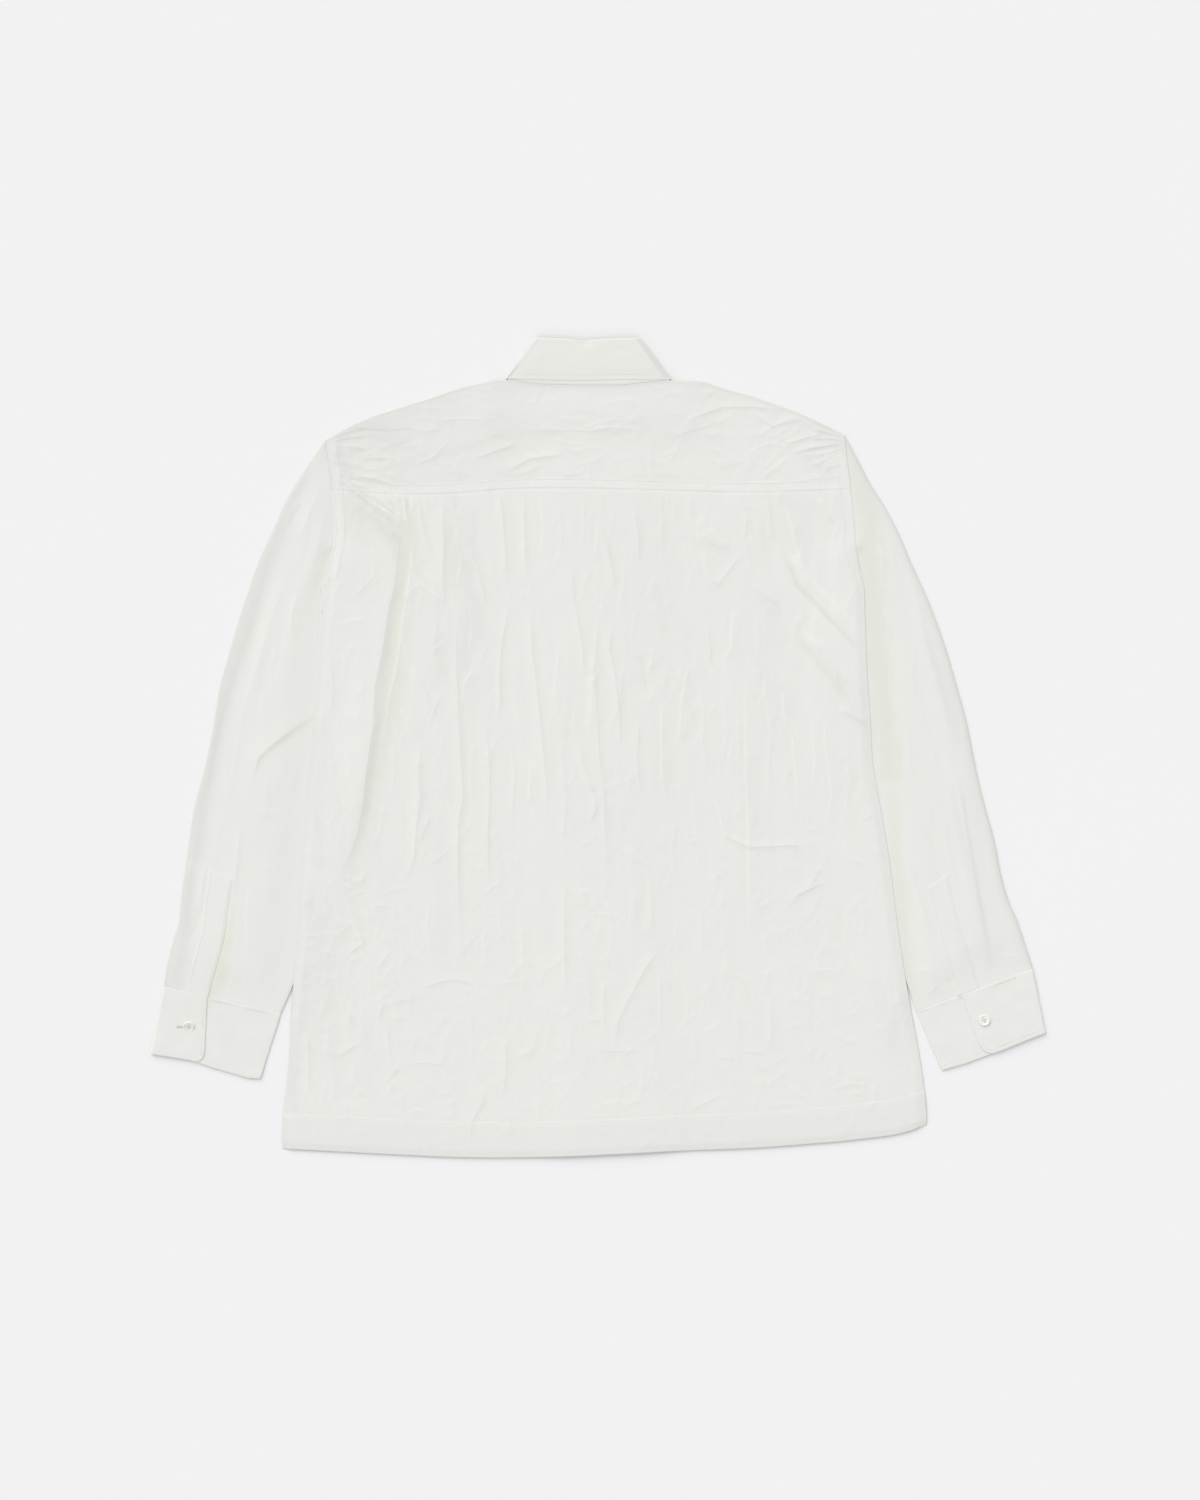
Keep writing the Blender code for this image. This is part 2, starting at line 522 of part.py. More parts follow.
# ---------------------------------------------------------------- sleeves
def coons(q, v, start, end, inner, outer):
    """A point of a patch between four edges; q runs from inner to outer, v from start to end."""
    corners = [[inner(0), inner(1)], [outer(0), outer(1)]]
    point = []
    for axis in (0, 1):
        ruled = mix(inner(v)[axis], outer(v)[axis], q) + mix(start(q)[axis], end(q)[axis], v)
        bilinear = mix(mix(corners[0][0][axis], corners[0][1][axis], v),
                       mix(corners[1][0][axis], corners[1][1][axis], v), q)
        point.append(ruled - bilinear)
    return point


class Sleeve:
    """The outline and heights of one sleeve, lying pressed beside the body."""

    def __init__(self, side, outer_edge, cuff_seam):
        self.side = side
        self.away = -1 if side == LEFT else 1
        self.outer_edge = outer_edge
        self.cuff_seam = cuff_seam
        self.y_pit = SLEEVE_INNER[0].y
        self.y_shoulder = outer_edge[0][0]

    def armhole(self, front):
        def point(q):
            y = mix(self.y_pit, self.y_shoulder, q)
            clear = SEAM + 0.2 + 1.6 * ease(1 - (y - self.y_pit) / 32)
            x_back, x_front = (read(t, y, self.side) for t in (ARMHOLE_BACK, ARMHOLE_FRONT))
            apart = ease(q / 0.12) * ease((1 - q) / 0.12) if front else 0
            return mix(x_back, x_front, apart) + self.away * clear, y
        return point

    def seam(self, q):
        """The cuff end, just above the cuff's own edge."""
        return read(self.cuff_seam, q), read(self.cuff_seam, q, 2) + SLEEVE_END

    def inner(self, v):
        y = mix(self.y_pit, self.seam(0)[1], v)
        x = self.armhole(False)(0)[0] if v == 0 else read(SLEEVE_INNER, y, self.side)
        return (self.seam(0)[0] if v == 1 else x), y

    def outer(self, v):
        y = mix(self.y_shoulder, self.seam(1)[1], v)
        x = self.armhole(False)(1)[0] if v == 0 else read(self.outer_edge, y)
        return (self.seam(1)[0] if v == 1 else x), y

    def flat(self, q, v, front):
        return coons(q, v, self.armhole(front), self.seam, self.inner, self.outer)

    def level(self, q, v):
        """The middle of the upper layer."""
        x, y = self.flat(q, v, False)
        pressed = FLOOR + TUBE_OPEN
        puff = SLEEVE_PUFF * (4 * q * (1 - q)) ** 0.7
        ends = ease((1 - v) / 0.12)
        crease = ridges(SLEEVE_FOLDS, x, y) * ease(q / 0.15) * ease((1 - q) / 0.12)
        free = pressed + (puff + crease) * ends
        under = ease((208 - y) / 14)
        beyond = self.away * (x - back_side(y, self.side))
        cover = under * (1 - ease((beyond - 3) / 14))
        seam_z = back_z(back_side(max(y, self.y_pit), self.side), max(y, self.y_pit))
        at_seam = ease(1 - v / 0.1) * (1 - cover)
        return mix(mix(free, pressed, cover), seam_z, at_seam)

    def point(self, layer, q, k, v):
        """A point of the tube: level at a share q, or k radii from the tip of a fold, q 0 or 1."""
        width = math.dist(self.flat(0, v, False), self.flat(1, v, False))
        radius = (self.level(q, v) - FLOOR) / 2
        if k is not None:
            q = abs(q - k * radius / width)
        x, y = self.flat(q, v, layer < 0)
        if k is not None:
            return x, y, FLOOR + radius * (1 + layer * quarter(k))
        return x, y, self.level(q, v) if layer > 0 else FLOOR


def build_sleeve(name, sleeve, placket):
    """The tube of a sleeve; its columns meet the corners of the armhole and of the placket."""
    def stations(armhole, more):
        at_seam = [(row.y - sleeve.y_pit) / (sleeve.y_shoulder - sleeve.y_pit) for row in armhole]
        return sorted({round(q, 4) for q in at_seam + more if 0.05 < q < 0.96})

    up = stations(ARMHOLE_BACK, list(placket) + [sum(placket) / 2, 0.08, 0.22, 0.93])
    down = stations(ARMHOLE_FRONT, [0.9])
    columns = [(1, 0, k) for k in FOLD_STEPS] + [(1, q, None) for q in up]
    columns += [(1, 1, k) for k in reversed(FOLD_STEPS)]
    columns += [(-1, 1, k) for k in FOLD_STEPS[1:]] + [(-1, q, None) for q in reversed(down)]
    columns += [(-1, 0, k) for k in reversed(FOLD_STEPS)]

    def place(column, v):
        return sleeve.point(*column, v)

    return sheet(name, columns, SLEEVE_ROWS, place, closed=True)


def build_placket(name, sleeve, placket):
    """The strip along the sleeve's slit, made of the sleeve's own points moved out."""
    columns = [placket[0], sum(placket) / 2, placket[1]]
    rows = SLEEVE_ROWS[PLACKET_FROM:]

    def place(q, v):
        point = Vector(sleeve.point(1, q, None, v))
        if v == 1:
            point = point.lerp(Vector(sleeve.point(1, q, None, rows[-2])), 0.06)
        return point + Vector((0, 0, LAYER + 0.1))

    return sheet(name, columns, rows, place)


# ---------------------------------------------------------------- cuffs
def build_cuff(name, seam, edge, closure):
    """A band once round the wrist, its buttoned end lying on its other end."""
    over, under, pressed = FLOOR + TUBE_OPEN + LAYER, FLOOR + TUBE_OPEN, FLOOR
    out_fold, in_fold = (over - pressed) / 2, (under - pressed) / 2
    columns = [("over", closure.over_end, None), ("over", mix(closure.over_end, 1, 0.5), None)]
    columns += [("over", 1, k) for k in (1.0, 0.3, 0.0)] + [("down", 1, k) for k in (0.3, 1.0)]
    columns += [("down", 1 - k, None) for k in (0.2, 0.4, 0.6, 0.8)]
    columns += [("down", 0, k) for k in (1.0, 0.3, 0.0)] + [("under", 0, k) for k in (0.3, 1.0)]
    columns += [("under", closure.under_end * k, None) for k in (0.25, 0.5, 0.75, 1)]

    def place(column, h):
        layer, q, k = column
        near = [mix(read(seam, 0, c), read(edge, 0, c), h) for c in (1, 2)]
        far = [mix(read(seam, 1, c), read(edge, 1, c), h) for c in (1, 2)]
        width = math.dist(near, far)
        z = {"over": over, "down": pressed, "under": under}[layer]
        if k is not None:
            radius = out_fold if q == 1 else in_fold
            q = abs(q - k * radius / width)
            rise = -1 if layer == "down" else 1
            z = pressed + radius * (1 + rise * quarter(k))
        x, y = [mix(read(seam, q, c), read(edge, q, c), h) for c in (1, 2)]
        return x, y, z

    return sheet(name, columns, even(3), place)


# ---------------------------------------------------------------- collar
def build_stand():
    columns = STAND_LEFT_FRONT + STAND_BACK + STAND_RIGHT_FRONT

    def place(band, t):
        return (mix(band.x_low, band.x_roll, t), mix(band.y_low, band.y_roll, t),
                mix(band.z_low, band.z_roll, t))

    return sheet("collar_stand", columns, even(3), place)


def build_fall():
    """The collar's outer part: from the roll line down the back, and the two front points."""
    rows = [("roll", k) for k in (0.0, 0.3, 1.0)] + [("flat", k) for k in (0.35, 0.7, 1.0)]

    def place(leaf, row):
        zone, k = row
        dx, dy = leaf.x_edge - leaf.x_roll, leaf.y_edge - leaf.y_roll
        start = FALL_ROLL / math.hypot(dx, dy)
        if zone == "roll":
            t, z = start * k, mix(leaf.z_inner, leaf.z_leaf, quarter(k))
        else:
            t, z = mix(start, 1, k), mix(leaf.z_leaf, leaf.z_edge, k)
        return leaf.x_roll + dx * t, leaf.y_roll + dy * t, z

    return sheet("collar_fall", FALL, rows, place)


# ---------------------------------------------------------------- the shirt
for old in list(bpy.data.objects):
    bpy.data.objects.remove(old, do_unlink=True)
shirt = bpy.data.collections.new("shirt")
bpy.context.scene.collection.children.link(shirt)
cotton = material("white_cotton", (0.80, 0.81, 0.78), 0.85)
pearl = material("pearl_button", (0.86, 0.83, 0.78), 0.25)

build_yoke()
build_back()
build_front("front_left", NECK_LEFT, CENTRE + OVERLAP, left_front_z)
build_front("front_right", NECK_RIGHT, CENTRE - OVERLAP, right_front_z)
build_stand()
build_fall()
for suffix, side, outer_edge, seam, edge, closure in (
        ("left", LEFT, SLEEVE_OUTER_LEFT, CUFF_SEAM_LEFT, CUFF_EDGE_LEFT, CUFF_LEFT),
        ("right", RIGHT, SLEEVE_OUTER_RIGHT, CUFF_SEAM_RIGHT, CUFF_EDGE_RIGHT, CUFF_RIGHT)):
    pressed_sleeve = Sleeve(side, outer_edge, seam)
    placket = (closure.placket_in, closure.placket_out)
    build_sleeve("sleeve_" + suffix, pressed_sleeve, placket)
    build_placket("sleeve_placket_" + suffix, pressed_sleeve, placket)
    build_cuff("cuff_" + suffix, seam, edge, closure)
    button("button_cuff_" + suffix, closure.button_x, closure.button_y,
           FLOOR + TUBE_OPEN + LAYER + WALL / 2 + GAP, face_up=True)
button("button_collar", centre_x(COLLAR_BUTTON_Y), COLLAR_BUTTON_Y, 0, face_up=False)
for number in range(FRONT_BUTTONS):
    y_button = FRONT_BUTTON_TOP - number * FRONT_BUTTON_STEP
    button(f"button_front_{number + 1}", centre_x(y_button), y_button, 0, face_up=False)
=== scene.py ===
# %% [markdown]
# # A crinkled white shirt, lying flat with its back up
# The shirt is a few flat pieces of thin cotton sewn together: a yoke over the shoulders, a back,
# two fronts, two sleeves with cuffs, and a collar. Pressed flat on a table it is only a few
# millimetres thick, so nearly all of its look is in the outline, the seams and the creases.
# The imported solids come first. They fix the place and the size of every piece.

# %% Load the solids
import math
from collections import namedtuple

import bmesh
import bpy
import numpy as np
from mathutils import Matrix, Vector


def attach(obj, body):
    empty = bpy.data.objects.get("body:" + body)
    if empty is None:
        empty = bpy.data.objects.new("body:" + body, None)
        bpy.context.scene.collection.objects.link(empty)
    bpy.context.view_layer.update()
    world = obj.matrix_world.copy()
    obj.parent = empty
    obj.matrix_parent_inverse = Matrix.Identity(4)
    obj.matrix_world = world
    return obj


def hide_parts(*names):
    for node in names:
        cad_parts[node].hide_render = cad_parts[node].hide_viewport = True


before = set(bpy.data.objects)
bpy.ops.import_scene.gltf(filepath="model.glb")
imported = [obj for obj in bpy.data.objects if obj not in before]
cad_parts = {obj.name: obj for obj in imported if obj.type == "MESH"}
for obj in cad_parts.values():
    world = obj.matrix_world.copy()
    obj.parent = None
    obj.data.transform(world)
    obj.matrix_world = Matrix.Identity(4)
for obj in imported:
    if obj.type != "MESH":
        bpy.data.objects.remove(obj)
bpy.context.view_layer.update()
MM = 0.001

# %% [markdown]
# ## Numbers and tables
# A pattern cutter marks a few points of each edge and draws a smooth line through them with a
# curved ruler. The tables below hold such points in millimetres, and `smooth` is the ruler. It is
# a cubic curve whose slope at each point comes from the two points beside it. `read` is a
# straight ruler, for heights and small things.

# %% Rulers
def ease(value):
    """A soft step from 0 to 1."""
    t = np.clip(value, 0, 1)
    return t * t * (3 - 2 * t)


def mix(a, b, share):
    return a + (b - a) * share


def columns_of(rows, column):
    rows = sorted(rows)
    return (np.array([row[c] for row in rows], float) for c in (0, column))


def read(rows, at, column=1):
    return np.interp(at, *columns_of(rows, column))


def smooth(rows, at, column=1):
    x, y = columns_of(rows, column)
    slope = np.gradient(y, x)
    at = np.clip(at, x[0], x[-1])
    k = np.clip(np.searchsorted(x, at, side="right") - 1, 0, len(x) - 2)
    w = x[k + 1] - x[k]
    t = (at - x[k]) / w
    start = y[k] * (1 + 2 * t) + slope[k] * w * t
    end = y[k + 1] * (3 - 2 * t) - slope[k + 1] * w * (1 - t)
    return start * (1 - t) ** 2 + end * t ** 2


print("half way up a soft step:", float(ease(0.5)))

# %% [markdown]
# ## The outlines
# All sizes are in millimetres from the middle of the outline: x to the wearer's right hand, y to
# the collar. The edges of the body, the sleeves and the seams have a row for each height, or for
# each share of the width. They are the edges of the solids, so the cloth fits them.

# %% Edges of the body and the yoke
LEFT, RIGHT = 1, 2
BODY_SIDE = (           # y, left x, right x
    (160, -271.5, 266), (115, -277, 267.5), (74, -280, 269), (33, -283.5, 272),
    (-17, -288.5, 275), (-69, -293, 284), (-105, -296.5, 290), (-197, -301.5, 302),
    (-267, -306.5, 313.5), (-310, -308.5, 321.5), (-371, -314.5, 328.5), (-401, -315.5, 328.5))
ARMHOLE = (             # y, left x, right x
    (308, -272.5, 246.5), (257, -265.5, 252.5), (232, -264, 256), (206, -264, 257.5),
    (186, -268, 260), (168, -270.5, 264), (160, -271.5, 266))
TOP_LINE = (            # shoulder fold, neck seam and shoulder fold: x, y
    (-272.5, 307.5), (-245, 322), (-224, 331), (-199, 339), (-170, 348), (-135, 360),
    (-105, 367), (-91, 367), (-83, 366), (-58, 362), (-18, 361), (22, 361), (50, 364),
    (72, 366.4), (94, 366.6), (107, 365), (126, 358), (151, 351.5), (174, 343.5),
    (196, 335.5), (210, 330), (229, 321), (246.5, 312))
YOKE_SEAM = (           # share of the width, y
    (0, 257), (0.1, 252.5), (0.22, 252.5), (0.34, 257), (0.62, 256), (0.8, 254), (1, 257))
HEM = (                 # share of the width, y
    (0, -401), (0.09, -404), (0.18, -407), (0.27, -409.5), (0.43, -408.9), (0.53, -406),
    (0.62, -403), (0.74, -400), (0.81, -396.6), (0.89, -392), (0.98, -382), (1, -377))
NECKLINE = (            # the fronts' neck seam: x, y
    (-91, 332), (-84, 316), (-74, 305), (-57, 294.5), (-30, 286.5), (-9.5, 284), (11.5, 286.5),
    (38, 294.5), (55, 305), (65, 316), (72, 331))
FRONT_SEAM = ((-272.5, 272.5), (-91, 332), (72, 331), (246.5, 277))
NECK_LEFT, NECK_RIGHT = -91.0, 72.0
CENTRE, OVERLAP = 0.507, 0.029      # the centre front and how far each front passes it


def back_side(y, side):
    """The armhole's seam, and the body's side below it."""
    y = np.asarray(y, float)
    return np.where(y > 160, smooth(ARMHOLE, y, side), smooth(BODY_SIDE, y, side))


def x_top_at(share):
    return mix(TOP_LINE[0][0], TOP_LINE[-1][0], share)


def share_at(x, y):
    """How far across the body a place is."""
    left, right = back_side(y, LEFT), back_side(y, RIGHT)
    return (x - left) / (right - left)


def centre_x(y):
    return mix(back_side(y, LEFT), back_side(y, RIGHT), CENTRE)


print("chest in mm:", round(float(back_side(150, RIGHT) - back_side(150, LEFT)), 1))

# %% Edges of the sleeves and the cuffs
SLEEVE_INNER = (        # y, left x, right x
    (163, -272.9, 267.4), (145, -275.8, 269.4), (120, -265, 259), (100, -260, 254),
    (74, -257, 251), (33, -256, 249), (-17, -262, 255), (-69, -272, 266),
    (-100, -280, 274), (-148, -290, 287), (-197, -298, 299), (-233, -302.8, 307),
    (-246, -308, 311.5), (-266, -317, 318))
SLEEVE_OUTER_LEFT = (   # y, x
    (307.5, -272.8), (277, -294), (247, -312), (220, -324), (187, -339), (144, -354), (94, -369),
    (66, -377), (14, -386), (-19, -393), (-62, -404), (-110, -411), (-153, -417), (-174, -419),
    (-195, -425), (-220, -431), (-239, -434))
SLEEVE_OUTER_RIGHT = (
    (312, 246.8), (291, 258), (261, 274), (235, 290), (211, 302), (187, 312), (147, 330),
    (107, 345), (67, 357), (27, 368), (-13, 376), (-53, 385), (-93, 396), (-133, 404),
    (-153, 410), (-174, 419), (-195, 426), (-221, 434.5))
CUFF_SEAM_LEFT = ((0, -317, -266.3), (1, -434, -239.6))         # share of the width, x, y
CUFF_EDGE_LEFT = ((0, -337.6, -331.4), (0.12, -349, -331), (0.55, -385, -320.5),
                  (0.75, -407, -313), (1, -447.2, -306.5))
CUFF_SEAM_RIGHT = ((0, 318, -264), (1, 434.5, -221.6))
CUFF_EDGE_RIGHT = ((0, 344, -323), (0.22, 367, -316.4), (0.44, 391, -307.4),
                   (0.57, 403, -303.4), (0.8, 427, -293.4), (1, 447.2, -285.6))
Closure = namedtuple("Closure", "over_end under_end button_x button_y placket_in placket_out")
CUFF_LEFT = Closure(0.63, 0.84, -410, -278, 0.62, 0.81)
CUFF_RIGHT = Closure(0.39, 0.62, 386, -273, 0.35, 0.54)
print("cuff depth in mm:", round(math.dist(CUFF_SEAM_LEFT[0][1:], CUFF_EDGE_LEFT[0][1:]), 1))

# %% [markdown]
# ## The creases
# Crinkled cotton keeps the creases that it was twisted and dried with. Most run down the back,
# others fan out from the shoulders. Each row is one crease: its half width on the side away from
# the window, its half width towards the window, its height, and the points that it runs through.
# A narrow side is steep, so it shows as a fine shaded or bright line, and a wide side is the soft
# slope that leads up to it. A negative height is a trough. They could be painted on as a bump, but
# real relief catches the light at the edges of the shirt as well.

# %% Creases of the yoke
YOKE_CREASES = (
    (1.6, 1.6, -1, -268, 288, -248, 268, -228, 262), (1.5, 1.5, 0.9, -266, 280, -246, 264, -226, 257),
    (1.5, 1.5, -0.9, -268, 296, -252, 280, -236, 266),
    (1.8, 6.4, 0.72, -248, 321, -222, 317, -194, 311.5), (1.6, 5.5, 0.63, -234, 288.5, -201.5, 288.5),
    (2.2, 7.1, 0.63, -186, 281, -165, 289, -156, 298, -146, 308),
    (1.7, 3.5, 0.3, -146, 275, -140, 285, -129, 296),
    (1.7, 4.8, 0.81, -125, 287, -108, 294, -87, 301, -77, 303),
    (1.8, 5.4, 0.99, -92.4, 275, -68, 288, -48.4, 290.5, -29.3, 294.3),
    (1.7, 3.8, 0.5, -87, 271, -71, 275, -54, 283),
    (1.6, 4.6, 0.5, -47, 279, -31, 271.3, -16, 273.3, -10, 285),
    (2.2, 6.9, 0.63, -247.4, 271.3, -219, 266, -196, 260),
    (3.8, 1.7, 0.54, -168, 326, -136, 328, -104, 326), (3.5, 1.4, 0.4, -158, 349, -130, 353, -98, 345),
    (1.4, 4.4, 0.3, -265, 299, -252, 295, -236, 299), (1.6, 3.9, 0.3, -260, 285, -246, 281, -232, 275),
    (2.2, 6.2, 0.63, -267, 275, -254, 263, -246, 245),
    (1.9, 6.9, 0.63, -260, 277, -246, 267, -236, 247), (1.8, 3.2, 0.3, -252, 277, -238, 265, -227, 253),
    (3.2, 1.7, 0.4, -265, 269, -257, 253, -254, 241), (1.5, 4.4, 0.4, -232, 315, -212, 307, -196, 301),
    (3.6, 1.3, 0.4, -218, 333, -178, 340, -146, 337), (1.4, 4.7, 0.5, -203, 322, -174, 315, -152, 319),
    (3.9, 1.8, 0.4, -197, 299, -178, 303, -170, 311), (2.1, 7.2, 0.63, -12, 317, 20, 319, 49, 314.4),
    (1.3, 5.1, 0.5, 53, 311.5, 54, 291, 53, 271),
    (1.8, 6.6, 0.54, 74, 310, 89, 315, 112, 322, 123.6, 326),
    (1.8, 7.6, 0.9, 85, 325, 104, 332, 123.6, 339.3, 150, 340.2, 190.5, 336.4),
    (1.8, 5.8, 0.81, 148.4, 338.3, 175, 320, 192, 328, 209.7, 330),
    (1.3, 3.5, 0.3, 146.5, 312.5, 165.7, 310.6, 185, 309),
    (2.3, 5.3, 0.81, 183, 302, 211.6, 310, 229, 313.4),
    (2.3, 6.4, 0.54, 192, 293.4, 219, 300, 246, 304), (4.4, 1.4, 0.4, 196, 291, 222, 293, 244, 296),
    (1.5, 4, 0.4, 163.7, 267, 176, 275, 188.6, 285), (1.8, 3.3, 0.3, 75.7, 298, 87, 285, 98.7, 269.4),
    (3.5, 1.7, 0.4, 102, 301, 124, 295, 142, 281), (1.8, 4.5, 0.4, 214, 285, 230, 279, 244, 283),
    (4.1, 1.3, 0.4, 208, 273, 226, 269, 246, 273), (1.7, 3.8, 0.3, 118, 351, 140, 353, 162, 349),
    (4.9, 1.8, 0.4, 2, 343, 30, 347, 52, 343), (1.5, 4.2, 0.54, -82, 317, -23, 316, 36, 315),
    (1.5, 3.8, 0.4, 224, 323, 236, 313, 244, 307), (1.2, 3, 0.63, -271, 307, -249, 315, -226, 320),
    (1.2, 3, 0.54, -270, 305, -248, 309, -224, 312), (1.3, 3.4, 0.54, -269, 301, -248, 300, -225, 296),
    (3, 9, -0.9, -253, 318, -213, 315, -178, 316), (1.3, 4, 0.63, -247, 271, -226, 269, -198, 260),
    (1.3, 3, 0.72, -264, 273, -255, 260, -247, 250), (1.2, 3, 0.63, -261, 277, -249, 264, -240, 256),
    (1.3, 3, 0.63, -265, 266, -261, 257, -258, 250), (1.2, 3, 0.54, -246, 269, -238, 263, -230, 256),
    (1.2, 4, 0.5, -246, 285, -232, 277, -214, 277), (1.3, 3, 0.72, 247, 310, 232, 318, 214, 326),
    (1.2, 3, 0.72, 247, 309, 230, 314, 210, 319), (1.2, 3, 0.72, 247, 307, 228, 308, 208, 307),
    (1.3, 3.4, 0.63, 248, 304, 228, 301, 204, 297), (1.2, 3, 0.54, 248, 300, 232, 295, 212, 289),
    (1.3, 4.5, 0.72, 177, 320, 192, 325, 207, 328), (1.2, 4, 0.54, 194, 293, 210, 298, 226, 301),
    (1.2, 3, 0.54, 248, 313, 236, 320, 224, 326), (1.2, 4, 0.5, 160, 309, 170, 317, 178, 320),
    (1.2, 4, 0.5, 162, 267, 180, 281, 194, 291))

